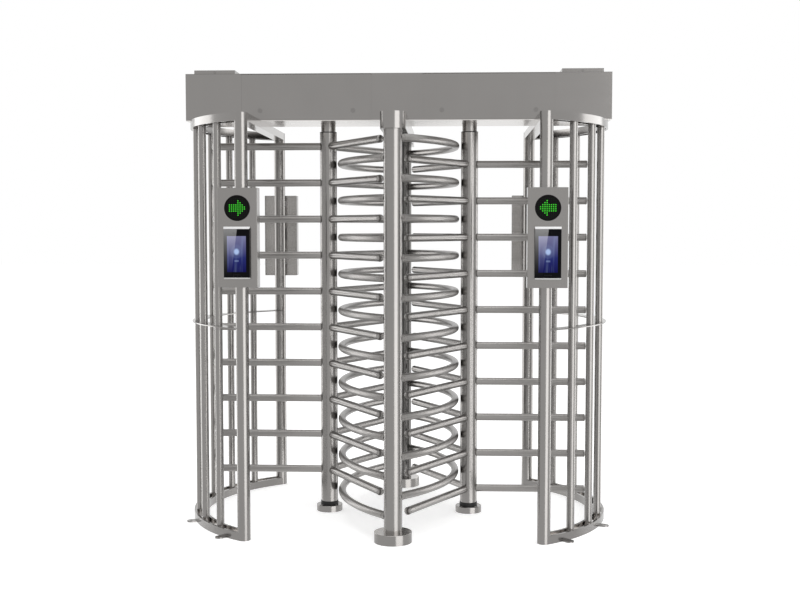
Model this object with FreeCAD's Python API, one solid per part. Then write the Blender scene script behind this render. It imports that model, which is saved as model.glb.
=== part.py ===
import FreeCAD, Part
import math
import os

# Full height turnstile with two lanes. Millimetres, Z up, front towards -Y.
# The origin is on the floor, midway between the two rotors.

# Overall sizes
roof_height = 2300.0
canopy_height = 240.0
canopy_overhang = 2.0
canopy_depth = 360.0
rotor_offset = 372.0

# Outer posts stand on the circle of the cage bars, centre posts on the middle plane
outer_post_diameter = 63.0
outer_post_wall = 2.0
outer_post_angle = 55.8
centre_post_diameter = 89.0
centre_post_wall = 2.0
centre_post_offset = 626.0

# Floor flange and cover of a centre post
base_cover_diameter = 184.0
base_cover_height = 50.0
base_cover_wall = 2.0
cover_to_post_gap = 0.3
post_flange_thickness = 12.0
post_flange_hole_diameter = 13.0
post_flange_hole_circle = 132.0
flange_hole_count = 4

# Cage bars, bands and half-height ring, on a circle whose centre is nearer the middle than the rotor axis
cage_centre_offset = 300.0
cage_bar_diameter = 38.0
cage_bar_wall = 1.5
cage_bar_circle = 755.0
cage_bar_step = 13.9
cage_bar_count = 7
cage_bar_end_gap = 3.0
band_height = 40.0
band_thickness = 12.0
middle_ring_height = 1030.0
middle_ring_thickness = 5.0
middle_ring_lip = 6.0

# Floor tabs on the outside of the bottom bands
tab_width = 44.0
tab_thickness = 6.0
tab_reach = 47.0
tab_hole_diameter = 13.0
tab_first_angle = 20.6
tab_second_angle = 47.2

# Top beams
outer_beam_width = 60.0
outer_beam_height = 40.0
centre_beam_width = 122.0
centre_beam_height = 80.0
beam_wall = 3.0

# Comb bars between the centre posts
comb_bar_diameter = 38.0
comb_bar_wall = 1.5
comb_bar_end_offset = 32.0
comb_to_column_gap = 8.5

# Rotor column and arms
column_diameter = 89.0
column_wall = 2.5
column_to_canopy_gap = 45.0
arm_diameter = 38.0
arm_wall = 1.5
arm_to_ring_gap = 26.0
arm_levels = 10
right_lowest_arm = 126.0
highest_arm_drop = 119.5
wing_angle = 120.0
wing_count = 3
plug_dome_height = 8.0
plug_rim_length = 4.0
plug_insert_length = 10.0
plug_edge_radius = 3.0

# Floor pivot, bush and seal under each column
pivot_disc_diameter = 138.0
pivot_disc_height = 33.0
pivot_neck_diameter = 50.0
pivot_neck_height = 39.0
pivot_pin_diameter = 30.0
pin_above_bush = 8.0
pivot_hole_diameter = 9.0
pivot_hole_head_diameter = 17.0
pivot_hole_circle = 115.0
bush_height = 60.0
bush_lead_chamfer = 2.0
seal_overhang = 2.0
seal_height = 20.0
seal_to_neck_gap = 1.0
seal_to_column_gap = 0.3
running_clearance = 0.05

# Rotor shaft, a plug in the column top with stepped journals above it
shaft_plug_length = 60.0
shaft_spigot_diameter = 76.0
shaft_spigot_to_bearing_gap = 2.0
shaft_journal_diameter = 50.0
shaft_seat_diameter = 40.0
shaft_seat_length = 40.0
shaft_end_diameter = 30.0
shaft_end_length = 18.0

# Canopy case
canopy_sheet = 2.0
canopy_floor = 3.0
spigot_hole_gap = 4.0
door_inner_edge = 132.0
end_front_length = 288.0
door_side_gap = 1.0
door_bottom_gap = 2.0
roof_fold_height = 2.0
door_top_gap = 2.2
door_sheet = 2.0
door_flange_depth = 12.0
door_flange_top_drop = 18.0
hinge_axis_depth = 8.0
hinge_axis_drop = 14.0
hinge_pin_diameter = 6.0
hinge_knuckle_diameter = 13.0
hinge_knuckle_length = 60.0
hinge_knuckle_count = 3
hinge_lug_thickness = 4.0
hinge_lug_width = 12.0
hinge_lug_clear = 2.0

# Door locks
lock_side_offset = 95.0
lock_rise = 49.0
lock_head_diameter = 24.0
lock_head_thickness = 3.0
lock_barrel_diameter = 18.0
lock_barrel_length = 27.0
lock_tongue_length = 42.0
lock_tongue_width = 14.0
lock_tongue_thickness = 3.0
keeper_width = 60.0
keeper_height = 22.0
keeper_thickness = 3.0
keeper_to_tongue_gap = 2.0
key_slot_length = 12.0
key_slot_width = 2.0
key_slot_depth = 1.5

# Roof hatches
hatch_to_door_gap = 38.0
hatch_end_margin = 39.0
hatch_side_margin = 30.0
hatch_height = 22.0
hatch_wall = 2.0
hatch_opening_margin = 18.0
hatch_upstand_width = 60.0
hatch_upstand_thickness = 3.0
hatch_upstand_height = 16.0
hatch_screw_height = 11.0
hatch_screw_diameter = 6.0
hatch_screw_length = 9.0
hatch_screw_head_diameter = 12.0
hatch_screw_head_height = 3.0

# Bolts between canopy floor and beams
canopy_bolt_diameter = 10.0
canopy_bolt_length = 13.0
canopy_bolt_head_width = 16.0
canopy_bolt_head_height = 6.4
canopy_bolt_hole_diameter = 10.4
canopy_bolt_near = 50.0
canopy_bolt_edge_margin = 50.0
centre_bolt_offset = 40.0

# Head plate and bearing
head_plate_thickness = 10.0
head_plate_inner_margin = 130.0
head_plate_outer_margin = 180.0
head_plate_side_margin = 30.0
head_plate_hole_gap = 2.0
bearing_flange_width = 130.0
bearing_flange_thickness = 12.0
bearing_housing_diameter = 96.0
bearing_housing_height = 39.0
bearing_fillet = 4.0

# Index wheel with gear teeth and lock notches, and the pinion that meshes with it
gear_module = 3.0
wheel_teeth = 60
pinion_teeth = 20
gear_addendum = 2.4
gear_dedendum = 3.3
tooth_root_share = 0.60
tooth_tip_share = 0.24
wheel_to_bearing_gap = 16.0
wheel_gear_thickness = 12.0
wheel_hub_diameter = 60.0
wheel_hub_end = 4.0
gear_to_disc_gap = 6.0
lock_disc_diameter = 132.0
lock_disc_thickness = 12.0
lock_notch_side_gap = 0.5
lock_notch_depth = 12.0
lock_notch_count = 12
pinion_overhang = 1.0
pinion_shaft_diameter = 12.0
pinion_shaft_end = 5.0

# Rotary damper
damper_diameter = 76.0
damper_to_pinion_gap = 9.0
damper_foot_length = 104.0
damper_foot_width = 40.0
damper_foot_thickness = 6.0
damper_bore_depth = 24.0
damper_bore_bottom_gap = 2.0

# Lock solenoids and bolts
solenoid_width = 40.0
solenoid_bore_rest = 2.0
solenoid_back_wall = 2.0
lock_bolt_diameter = 12.0
lock_bolt_to_disc_gap = 3.0
lock_bolt_reach = 41.0
lock_bolt_depth = 36.0
lock_bolt_collar_diameter = 18.0
lock_bolt_collar_place = 31.0
lock_bolt_collar_length = 3.0
lock_bolt_chamfer = 3.0

# Electric boxes on the canopy floor
controller_length = 180.0
controller_depth = 170.0
controller_height = 60.0
controller_place_x = -100.0
controller_place_y = 15.0
supply_length = 150.0
supply_depth = 120.0
supply_height = 45.0
supply_place_x = 95.0
supply_place_y = 0.0
box_edge_radius = 4.0

# Reader boxes on the outer posts
reader_width = 188.0
reader_height = 467.0
reader_depth = 75.0
reader_base = 1233.0
reader_wall = 2.0
reader_to_post_gap = 5.35
reader_back_plate_thickness = 3.0
cable_slot_width = 8.0
cable_slot_rise = 208.0
cable_slot_height = 64.0
cable_slot_offset = 29.0
back_groove_width = 3.0
back_groove_depth = 1.5
saddle_width = 60.0
saddle_height = 30.0
saddle_reach = 30.0
low_saddle_rise = 67.0
high_saddle_rise = 407.0
display_rise = 372.0
display_face_diameter = 121.0
display_face_thickness = 4.0
display_barrel_diameter = 116.0
display_barrel_length = 28.0
display_hole_gap = 0.2
terminal_width = 122.0
terminal_height = 244.0
terminal_thickness = 24.0
terminal_rise = 41.0
terminal_edge_radius = 3.0
terminal_cable_hole_diameter = 20.0

# Derived places
canopy_base = roof_height - canopy_height
half_depth = canopy_depth / 2
floor_top = canopy_base + canopy_floor
outer_post_radius = outer_post_diameter / 2
outer_post_x = cage_centre_offset + cage_bar_circle * math.cos(math.radians(outer_post_angle))
outer_post_y = cage_bar_circle * math.sin(math.radians(outer_post_angle))
centre_post_radius = centre_post_diameter / 2
column_radius = column_diameter / 2
column_bore_radius = column_radius - column_wall
column_base = pivot_disc_height + seal_height + seal_to_column_gap
column_top = canopy_base - column_to_canopy_gap
pivot_neck_top = pivot_disc_height + pivot_neck_height
bush_top = pivot_neck_top + bush_height
pivot_pin_top = bush_top + pin_above_bush
arm_radius = arm_diameter / 2
arm_pitch = (canopy_base - highest_arm_drop - right_lowest_arm) / (arm_levels - 0.5)
left_lowest_arm = right_lowest_arm + arm_pitch / 2
outer_band_inner_radius = cage_bar_circle + cage_bar_diameter / 2
outer_band_outer_radius = outer_band_inner_radius + band_thickness
inner_band_outer_radius = cage_bar_circle - cage_bar_diameter / 2
inner_band_inner_radius = inner_band_outer_radius - band_thickness
middle_ring_inner_radius = inner_band_inner_radius - middle_ring_lip
tab_tip_radius = outer_band_outer_radius + tab_reach
arm_reach = cage_centre_offset + middle_ring_inner_radius - rotor_offset - arm_to_ring_gap
comb_bar_tip_offset = rotor_offset - column_radius - comb_to_column_gap - comb_bar_diameter / 2
comb_bar_rise = comb_bar_tip_offset - comb_bar_end_offset
comb_bar_bend_radius = (comb_bar_rise ** 2 + centre_post_offset ** 2) / (2 * comb_bar_rise)
half_length = cage_centre_offset + outer_band_outer_radius + canopy_overhang
door_outer_edge = half_length - end_front_length
hatch_inner_edge = door_outer_edge + hatch_to_door_gap
hatch_outer_edge = half_length - hatch_end_margin
half_hatch_depth = half_depth - hatch_side_margin
canopy_bolt_far = half_depth - canopy_bolt_edge_margin
head_plate_top = floor_top + head_plate_thickness
bearing_top = head_plate_top + bearing_housing_height
spigot_top = head_plate_top - shaft_spigot_to_bearing_gap
wheel_pitch_radius = gear_module * wheel_teeth / 2
pinion_pitch_radius = gear_module * pinion_teeth / 2
pinion_x = rotor_offset + wheel_pitch_radius + pinion_pitch_radius
wheel_hub_base = bearing_top + wheel_to_bearing_gap
wheel_gear_base = wheel_hub_base + wheel_hub_end
lock_disc_base = wheel_gear_base + wheel_gear_thickness + gear_to_disc_gap
lock_disc_top = lock_disc_base + lock_disc_thickness
wheel_hub_top = lock_disc_top + wheel_hub_end
lock_notch_width = lock_bolt_diameter + 2 * lock_notch_side_gap
pinion_base = wheel_gear_base - pinion_overhang
pinion_thickness = wheel_gear_thickness + 2 * pinion_overhang
damper_top = pinion_base - damper_to_pinion_gap
damper_bore_base = damper_top - damper_bore_depth
lock_bolt_height = lock_disc_base + lock_disc_thickness / 2
lock_bolt_tip = lock_disc_diameter / 2 + lock_bolt_to_disc_gap
solenoid_front = lock_bolt_tip + lock_bolt_reach
lock_bolt_end = solenoid_front + lock_bolt_depth
roof_underside = roof_height - canopy_sheet
door_bottom = floor_top + door_bottom_gap
door_top = roof_underside - roof_fold_height - door_top_gap
lock_height = floor_top + lock_rise
door_front = -half_depth
hinge_y = door_front + hinge_axis_depth
hinge_z = roof_height - hinge_axis_drop
inner_lock_x = door_inner_edge + lock_side_offset
outer_lock_x = door_outer_edge - lock_side_offset
tongue_front = door_front + lock_barrel_length - lock_tongue_thickness
reader_back = outer_post_y + outer_post_radius + reader_to_post_gap
reader_front = reader_back + reader_depth
reader_top = reader_base + reader_height
display_height = reader_base + display_rise
terminal_base = reader_base + terminal_rise

origin = FreeCAD.Vector(0, 0, 0)
along_x = FreeCAD.Vector(1, 0, 0)
along_y = FreeCAD.Vector(0, 1, 0)
along_z = FreeCAD.Vector(0, 0, 1)


def point(x, y, z):
    return FreeCAD.Vector(x, y, z)


def block(x_low, x_high, y_low, y_high, z_low, z_high):
    return Part.makeBox(x_high - x_low, y_high - y_low, z_high - z_low, point(x_low, y_low, z_low))


def rod(radius, x, y, z_low, z_high):
    return Part.makeCylinder(radius, z_high - z_low, point(x, y, z_low), along_z)


def upright_tube(diameter, wall, x, y, z_low, z_high):
    outside = rod(diameter / 2, x, y, z_low, z_high)
    return outside.cut(rod(diameter / 2 - wall, x, y, z_low, z_high))


def other_side(shape):
    return shape.mirror(origin, along_x)


def other_face(shape):
    return shape.mirror(origin, along_y)


def group(shapes):
    return Part.makeCompound(shapes)


def turned(shape, x, y, degrees):
    copy = shape.copy()
    copy.rotate(point(x, y, 0), along_z, degrees)
    return copy


def largest_piece(shape):
    return max(shape.Solids, key=lambda solid: solid.Volume)


def ring_holes(shape, x, y, circle, hole_diameter, z_low, z_high, start):
    for number in range(flange_hole_count):
        angle = math.radians(start + number * 360.0 / flange_hole_count)
        hole_x = x + circle / 2 * math.cos(angle)
        hole_y = y + circle / 2 * math.sin(angle)
        shape = shape.cut(rod(hole_diameter / 2, hole_x, hole_y, z_low, z_high))
    return shape


def cage_arc(inner_radius, outer_radius, z_low, z_high):
    """Arc round the centre of the right cage, from the front outer post to the rear one."""
    height = z_high - z_low
    sweep = 2 * outer_post_angle
    centre = point(cage_centre_offset, 0, z_low)
    outside = Part.makeCylinder(outer_radius, height, centre, along_z, sweep)
    inside = Part.makeCylinder(inner_radius, height, centre, along_z, 360)
    arc = turned(outside.cut(inside), cage_centre_offset, 0, -outer_post_angle)
    for side_y in (-outer_post_y, outer_post_y):
        arc = arc.cut(rod(outer_post_radius, outer_post_x, side_y, z_low, z_high))
    return largest_piece(arc)


def outer_posts():
    posts = []
    for x in (-outer_post_x, outer_post_x):
        for y in (-outer_post_y, outer_post_y):
            posts.append(upright_tube(outer_post_diameter, outer_post_wall, x, y, 0, canopy_base))
    return group(posts)


def centre_posts():
    top = canopy_base - beam_wall
    posts = []
    for y in (-centre_post_offset, centre_post_offset):
        posts.append(upright_tube(centre_post_diameter, centre_post_wall, 0, y, 0, top))
    return group(posts)


def post_flanges():
    radius = base_cover_diameter / 2 - base_cover_wall
    flanges = []
    for y in (-centre_post_offset, centre_post_offset):
        plate = rod(radius, 0, y, 0, post_flange_thickness)
        plate = plate.cut(rod(centre_post_radius, 0, y, 0, post_flange_thickness))
        plate = ring_holes(plate, 0, y, post_flange_hole_circle, post_flange_hole_diameter,
                           0, post_flange_thickness, 45)
        flanges.append(plate)
    return group(flanges)


def post_base_covers():
    radius = base_cover_diameter / 2
    covers = []
    for y in (-centre_post_offset, centre_post_offset):
        cover = rod(radius, 0, y, 0, base_cover_height)
        cover = cover.makeFillet(base_cover_wall * 0.75, [top_rim(cover)])
        cover = cover.cut(rod(radius - base_cover_wall, 0, y, 0, base_cover_height - base_cover_wall))
        cover = cover.cut(rod(centre_post_radius + cover_to_post_gap, 0, y, 0, base_cover_height))
        covers.append(cover)
    return group(covers)


def top_rim(shape):
    """The circular edge at the top of a plain cylinder."""
    rims = [edge for edge in shape.Edges if abs(edge.BoundBox.ZMin - shape.BoundBox.ZMax) < 0.01]
    return max(rims, key=lambda edge: edge.Length)


def cage_bar_places():
    places = []
    first = -cage_bar_step * (cage_bar_count - 1) / 2
    for number in range(cage_bar_count):
        angle = math.radians(first + number * cage_bar_step)
        x = cage_centre_offset + cage_bar_circle * math.cos(angle)
        places.append((x, cage_bar_circle * math.sin(angle)))
    return places


def cage_bars():
    bars = []
    for x, y in cage_bar_places():
        bars.append(upright_tube(cage_bar_diameter, cage_bar_wall, x, y,
                                 cage_bar_end_gap, canopy_base - cage_bar_end_gap))
    return group(bars)


def cage_bands():
    bands = []
    for z_low in (0, canopy_base - band_height):
        z_high = z_low + band_height
        bands.append(cage_arc(outer_band_inner_radius, outer_band_outer_radius, z_low, z_high))
        bands.append(cage_arc(inner_band_inner_radius, inner_band_outer_radius, z_low, z_high))
    return group([largest_piece(band.cut(outer_beam_outline())) for band in bands])


def middle_ring():
    z_low = middle_ring_height - middle_ring_thickness / 2
    z_high = z_low + middle_ring_thickness
    ring = cage_arc(middle_ring_inner_radius, outer_band_outer_radius, z_low, z_high)
    for x, y in cage_bar_places():
        ring = ring.cut(rod(cage_bar_diameter / 2, x, y, z_low, z_high))
    return ring


def floor_tab(angle):
    hole_radius = tab_tip_radius - tab_width / 2
    start_x = cage_centre_offset + outer_band_inner_radius
    end_x = cage_centre_offset + hole_radius
    tab = block(start_x, end_x, -tab_width / 2, tab_width / 2, 0, tab_thickness)
    tab = tab.fuse(rod(tab_width / 2, end_x, 0, 0, tab_thickness))
    tab = tab.cut(rod(outer_band_outer_radius, cage_centre_offset, 0, 0, tab_thickness))
    tab = tab.cut(rod(tab_hole_diameter / 2, end_x, 0, 0, tab_thickness))
    return turned(tab.removeSplitter(), cage_centre_offset, 0, angle)


def floor_tabs():
    tabs = []
    for angle in (tab_first_angle, tab_second_angle):
        for tab in (floor_tab(angle), floor_tab(-angle)):
            tabs.append(tab)
            tabs.append(other_side(tab))
    return group(tabs)


def bolt_hole(x, y):
    return rod(canopy_bolt_hole_diameter / 2, x, y, canopy_base - beam_wall, floor_top)


def outer_beam_bolt_places():
    places = []
    for y in (-canopy_bolt_far, -canopy_bolt_near, canopy_bolt_near, canopy_bolt_far):
        places.append((outer_post_x, y))
    return places


def centre_beam_bolt_places():
    places = []
    for x in (-centre_bolt_offset, centre_bolt_offset):
        for y in (-canopy_bolt_far, canopy_bolt_far):
            places.append((x, y))
    return places


def outer_beam_outline():
    half = outer_beam_width / 2
    return block(outer_post_x - half, outer_post_x + half, -outer_post_y, outer_post_y,
                 canopy_base - outer_beam_height, canopy_base)


def outer_top_beam():
    low = canopy_base - outer_beam_height
    half = outer_beam_width / 2
    beam = outer_beam_outline()
    hollow = block(outer_post_x - half + beam_wall, outer_post_x + half - beam_wall,
                   -outer_post_y, outer_post_y, low + beam_wall, canopy_base - beam_wall)
    beam = beam.cut(hollow)
    for y in (-outer_post_y, outer_post_y):
        beam = beam.cut(rod(outer_post_radius, outer_post_x, y, low, canopy_base))
    for x, y in outer_beam_bolt_places():
        beam = beam.cut(bolt_hole(x, y))
    return largest_piece(beam)


def round_ended_bar(width, end_y, z_low, z_high):
    bar = block(-width / 2, width / 2, -end_y, end_y, z_low, z_high)
    for y in (-end_y, end_y):
        bar = bar.fuse(rod(width / 2, 0, y, z_low, z_high))
    return bar.removeSplitter()


def centre_top_beam():
    low = canopy_base - centre_beam_height
    beam = round_ended_bar(centre_beam_width, centre_post_offset, low, canopy_base)
    hollow = round_ended_bar(centre_beam_width - 2 * beam_wall, centre_post_offset,
                             low + beam_wall, canopy_base - beam_wall)
    beam = beam.cut(hollow)
    for y in (-centre_post_offset, centre_post_offset):
        beam = beam.cut(rod(centre_post_radius, 0, y, low, low + beam_wall))
    for x, y in centre_beam_bolt_places():
        beam = beam.cut(bolt_hole(x, y))
    return beam


def comb_bar(height):
    """One bent bar that bulges into the right lane and ends on both centre posts."""
    centre_x = comb_bar_tip_offset - comb_bar_bend_radius
    sweep = 2 * math.degrees(math.asin(centre_post_offset / comb_bar_bend_radius))
    centre = point(centre_x + comb_bar_bend_radius, 0, height)
    outer = Part.Face(Part.Wire(Part.makeCircle(comb_bar_diameter / 2, centre, along_y)))
    inner = Part.Face(Part.Wire(Part.makeCircle(comb_bar_diameter / 2 - comb_bar_wall, centre, along_y)))
    bar = outer.cut(inner).revolve(point(centre_x, 0, height), along_z, sweep)
    bar = turned(bar, centre_x, 0, -sweep / 2)
    low = height - comb_bar_diameter
    high = height + comb_bar_diameter
    for y in (-centre_post_offset, centre_post_offset):
        bar = bar.cut(rod(centre_post_radius, 0, y, low, high))
    return largest_piece(bar)


def comb_bars(lowest):
    bars = []
    for level in range(arm_levels):
        bars.append(comb_bar(lowest + level * arm_pitch))
    return group(bars)


def rotor_column():
    return upright_tube(column_diameter, column_wall, rotor_offset, 0, column_base, column_top)


def rotor_arm(height, degrees):
    start = point(rotor_offset, 0, height)
    length = arm_reach - plug_dome_height - plug_rim_length
    outside = Part.makeCylinder(arm_radius, length, start, along_x)
    inside = Part.makeCylinder(arm_radius - arm_wall, length, start, along_x)
    arm = outside.cut(inside)
    arm = arm.cut(rod(column_radius, rotor_offset, 0, height - arm_diameter, height + arm_diameter))
    return turned(arm, rotor_offset, 0, degrees)


def arm_plug(height, degrees):
    end = rotor_offset + arm_reach
    rim = end - plug_dome_height - plug_rim_length
    insert = Part.makeCylinder(arm_radius - arm_wall, plug_insert_length,
                               point(rim - plug_insert_length, 0, height), along_x)
    head = Part.makeCylinder(arm_radius, plug_dome_height + plug_rim_length, point(rim, 0, height), along_x)
    dome_radius = (arm_radius ** 2 + plug_dome_height ** 2) / (2 * plug_dome_height)
    dome = Part.makeSphere(dome_radius, point(end - dome_radius, 0, height))
    plug = head.common(dome).fuse(insert).removeSplitter()
    return turned(plug, rotor_offset, 0, degrees)


def on_every_arm(maker, lowest):
    shapes = []
    for level in range(arm_levels):
        for wing in range(wing_count):
            shapes.append(maker(lowest + level * arm_pitch, wing * wing_angle))
    return group(shapes)


def rotor_bush():
    bush = rod(column_bore_radius, rotor_offset, 0, pivot_neck_top, bush_top)
    bush = bush.makeChamfer(bush_lead_chamfer, [top_rim(bush)])
    bore = rod(pivot_pin_diameter / 2 + running_clearance, rotor_offset, 0, pivot_neck_top, bush_top)
    return bush.cut(bore)


def rotor_shaft():
    seat_base = wheel_hub_base
    seat_top = seat_base + shaft_seat_length
    shaft = rod(column_bore_radius, rotor_offset, 0, column_top - shaft_plug_length, column_top)
    shaft = shaft.fuse(rod(shaft_spigot_diameter / 2, rotor_offset, 0, column_top, spigot_top))
    shaft = shaft.fuse(rod(shaft_journal_diameter / 2, rotor_offset, 0, spigot_top, seat_base))
    shaft = shaft.fuse(rod(shaft_seat_diameter / 2, rotor_offset, 0, seat_base, seat_top))
    shaft = shaft.fuse(rod(shaft_end_diameter / 2, rotor_offset, 0, seat_top, seat_top + shaft_end_length))
    return shaft.removeSplitter()


def floor_pivot():
    disc = rod(pivot_disc_diameter / 2, rotor_offset, 0, 0, pivot_disc_height)
    disc = disc.makeChamfer(1.0, [top_rim(disc)])
    pivot = disc.fuse(rod(pivot_neck_diameter / 2, rotor_offset, 0, pivot_disc_height, pivot_neck_top))
    pin = rod(pivot_pin_diameter / 2, rotor_offset, 0, pivot_neck_top, pivot_pin_top)
    pivot = pivot.fuse(pin.makeChamfer(bush_lead_chamfer, [top_rim(pin)]))
    pivot = ring_holes(pivot, rotor_offset, 0, pivot_hole_circle, pivot_hole_diameter,
                       0, pivot_disc_height, 45)
    head_depth = (pivot_hole_head_diameter - pivot_hole_diameter) / 2
    for number in range(flange_hole_count):
        angle = math.radians(45 + number * 360.0 / flange_hole_count)
        x = rotor_offset + pivot_hole_circle / 2 * math.cos(angle)
        y = pivot_hole_circle / 2 * math.sin(angle)
        sink = Part.makeCone(pivot_hole_diameter / 2, pivot_hole_head_diameter / 2, head_depth,
                             point(x, y, pivot_disc_height - head_depth), along_z)
        pivot = pivot.cut(sink)
    return pivot.removeSplitter()


def seal_ring():
    top = pivot_disc_height + seal_height
    ring = rod(column_radius + seal_overhang, rotor_offset, 0, pivot_disc_height, top)
    hole = rod(pivot_neck_diameter / 2 + seal_to_neck_gap, rotor_offset, 0, pivot_disc_height, top)
    return ring.cut(hole)


def hinge_lug(x_low, x_high):
    lug = block(x_low, x_high, hinge_y - hinge_lug_width / 2, hinge_y + hinge_lug_width / 2,
                hinge_z - hinge_lug_width / 2, roof_underside)
    hole = Part.makeCylinder(hinge_pin_diameter / 2, x_high - x_low, point(x_low, hinge_y, hinge_z), along_x)
    return lug.cut(hole)


def lock_keeper(lock_x):
    back = tongue_front - keeper_to_tongue_gap
    return block(lock_x - keeper_width / 2, lock_x + keeper_width / 2,
                 back - keeper_thickness, back, floor_top, floor_top + keeper_height)


def hatch_upstand(x_low, x_high):
    middle = (x_low + x_high) / 2
    front = hatch_wall - half_hatch_depth
    upstand = block(middle - hatch_upstand_width / 2, middle + hatch_upstand_width / 2,
                    front, front + hatch_upstand_thickness, roof_height, roof_height + hatch_upstand_height)
    hole = Part.makeCylinder(hatch_screw_diameter / 2, hatch_upstand_thickness,
                             point(middle, front, roof_height + hatch_screw_height), along_y)
    return upstand.cut(hole)


def floor_half_details(plate):
    """Openings and lock keepers of the right half of the canopy floor."""
    hole_radius = shaft_spigot_diameter / 2 + spigot_hole_gap
    plate = plate.cut(rod(hole_radius, rotor_offset, 0, canopy_base, floor_top))
    plate = plate.fuse(lock_keeper(inner_lock_x))
    plate = plate.fuse(lock_keeper(outer_lock_x))
    for x, y in outer_beam_bolt_places():
        plate = plate.cut(bolt_hole(x, y))
    return plate


def canopy_floor_plate():
    plate = block(-half_length, half_length, -half_depth, half_depth, canopy_base, floor_top)
    plate = floor_half_details(plate)
    plate = floor_half_details(other_side(plate))
    for x, y in centre_beam_bolt_places():
        plate = plate.cut(bolt_hole(x, y))
    return other_side(plate).removeSplitter()


def roof_half_details(sheet):
    """Opening, upstand, hinge lugs and front fold of the right half of the canopy roof."""
    margin = hatch_opening_margin
    half_opening = half_hatch_depth - margin
    sheet = sheet.cut(block(hatch_inner_edge + margin, hatch_outer_edge - margin,
                            -half_opening, half_opening, roof_underside, roof_height))
    inner_lug = door_inner_edge - hinge_lug_clear
    outer_lug = door_outer_edge + hinge_lug_clear
    sheet = sheet.fuse(hinge_lug(inner_lug - hinge_lug_thickness, inner_lug))
    sheet = sheet.fuse(hinge_lug(outer_lug, outer_lug + hinge_lug_thickness))
    sheet = sheet.fuse(block(door_inner_edge, door_outer_edge, door_front, door_front + canopy_sheet,
                             roof_underside - roof_fold_height, roof_underside))
    return sheet.fuse(hatch_upstand(hatch_inner_edge, hatch_outer_edge))


def canopy_roof_sheet():
    sheet = block(-half_length, half_length, -half_depth, half_depth, roof_underside, roof_height)
    sheet = roof_half_details(sheet)
    sheet = roof_half_details(other_side(sheet))
    return other_side(sheet).removeSplitter()


def canopy_rear_panel():
    return block(-half_length, half_length, half_depth - canopy_sheet, half_depth, floor_top, roof_underside)


def canopy_end_panel():
    return block(half_length - canopy_sheet, half_length, -half_depth, half_depth - canopy_sheet,
                 floor_top, roof_underside)


def canopy_front_panels():
    end = half_length - canopy_sheet
    back = door_front + canopy_sheet
    centre = block(-door_inner_edge, door_inner_edge, door_front, back, floor_top, roof_underside)
    right = block(door_outer_edge, end, door_front, back, floor_top, roof_underside)
    return group([centre, right, other_side(right)])


def service_door():
    left = door_inner_edge + door_side_gap
    right = door_outer_edge - door_side_gap
    back = door_front + door_sheet
    flange_back = back + door_flange_depth
    flange_top = door_top - door_flange_top_drop
    door = block(left, right, door_front, back, door_bottom, door_top)
    door = door.fuse(block(left, right, back, flange_back, door_bottom, door_bottom + door_sheet))
    door = door.fuse(block(left, left + door_sheet, back, flange_back, door_bottom, flange_top))
    door = door.fuse(block(right - door_sheet, right, back, flange_back, door_bottom, flange_top))
    spacing = (right - left) / hinge_knuckle_count
    for number in range(hinge_knuckle_count):
        start = left + spacing * (number + 0.5) - hinge_knuckle_length / 2
        knuckle = Part.makeCylinder(hinge_knuckle_diameter / 2, hinge_knuckle_length,
                                    point(start, hinge_y, hinge_z), along_x)
        door = door.fuse(knuckle)
    bore = Part.makeCylinder(hinge_pin_diameter / 2 + running_clearance, right - left,
                             point(left, hinge_y, hinge_z), along_x)
    door = door.cut(bore)
    for lock_x in (inner_lock_x, outer_lock_x):
        hole = Part.makeCylinder(lock_barrel_diameter / 2 + running_clearance, door_sheet,
                                 point(lock_x, door_front, lock_height), along_y)
        door = door.cut(hole)
    return door.removeSplitter()


def door_hinge_pin():
    start = door_inner_edge - hinge_lug_clear - hinge_lug_thickness
    end = door_outer_edge + hinge_lug_clear + hinge_lug_thickness
    return Part.makeCylinder(hinge_pin_diameter / 2, end - start, point(start, hinge_y, hinge_z), along_x)


def door_lock(lock_x, towards):
    """Turning lock. Its tongue lies level, pointing along towards, when unlocked."""
    head_front = door_front - lock_head_thickness
    head = Part.makeCylinder(lock_head_diameter / 2, lock_head_thickness,
                             point(lock_x, head_front, lock_height), along_y)
    barrel = Part.makeCylinder(lock_barrel_diameter / 2, lock_barrel_length,
                               point(lock_x, door_front, lock_height), along_y)
    tongue_end = lock_x + towards * lock_tongue_length
    low_x = min(lock_x, tongue_end)
    high_x = max(lock_x, tongue_end)
    tongue = block(low_x, high_x, tongue_front, tongue_front + lock_tongue_thickness,
                   lock_height - lock_tongue_width / 2, lock_height + lock_tongue_width / 2)
    slot = block(lock_x - key_slot_width / 2, lock_x + key_slot_width / 2,
                 head_front, head_front + key_slot_depth,
                 lock_height - key_slot_length / 2, lock_height + key_slot_length / 2)
    return head.fuse(barrel).fuse(tongue).cut(slot).removeSplitter()


def roof_hatch():
    half = half_hatch_depth
    hatch_top = roof_height + hatch_height
    hatch = block(hatch_inner_edge, hatch_outer_edge, -half, half, roof_height, hatch_top)
    hollow = block(hatch_inner_edge + hatch_wall, hatch_outer_edge - hatch_wall,
                   -half + hatch_wall, half - hatch_wall, roof_height, hatch_top - hatch_wall)
    hole = Part.makeCylinder(hatch_screw_diameter / 2, hatch_wall,
                             point((hatch_inner_edge + hatch_outer_edge) / 2, -half,
                                   roof_height + hatch_screw_height), along_y)
    return hatch.cut(hollow).cut(hole)


def hatch_screw():
    x = (hatch_inner_edge + hatch_outer_edge) / 2
    z = roof_height + hatch_screw_height
    face = -half_hatch_depth
    head = Part.makeCylinder(hatch_screw_head_diameter / 2, hatch_screw_head_height,
                             point(x, face - hatch_screw_head_height, z), along_y)
    shank = Part.makeCylinder(hatch_screw_diameter / 2, hatch_screw_length, point(x, face, z), along_y)
    return head.fuse(shank)


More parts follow.
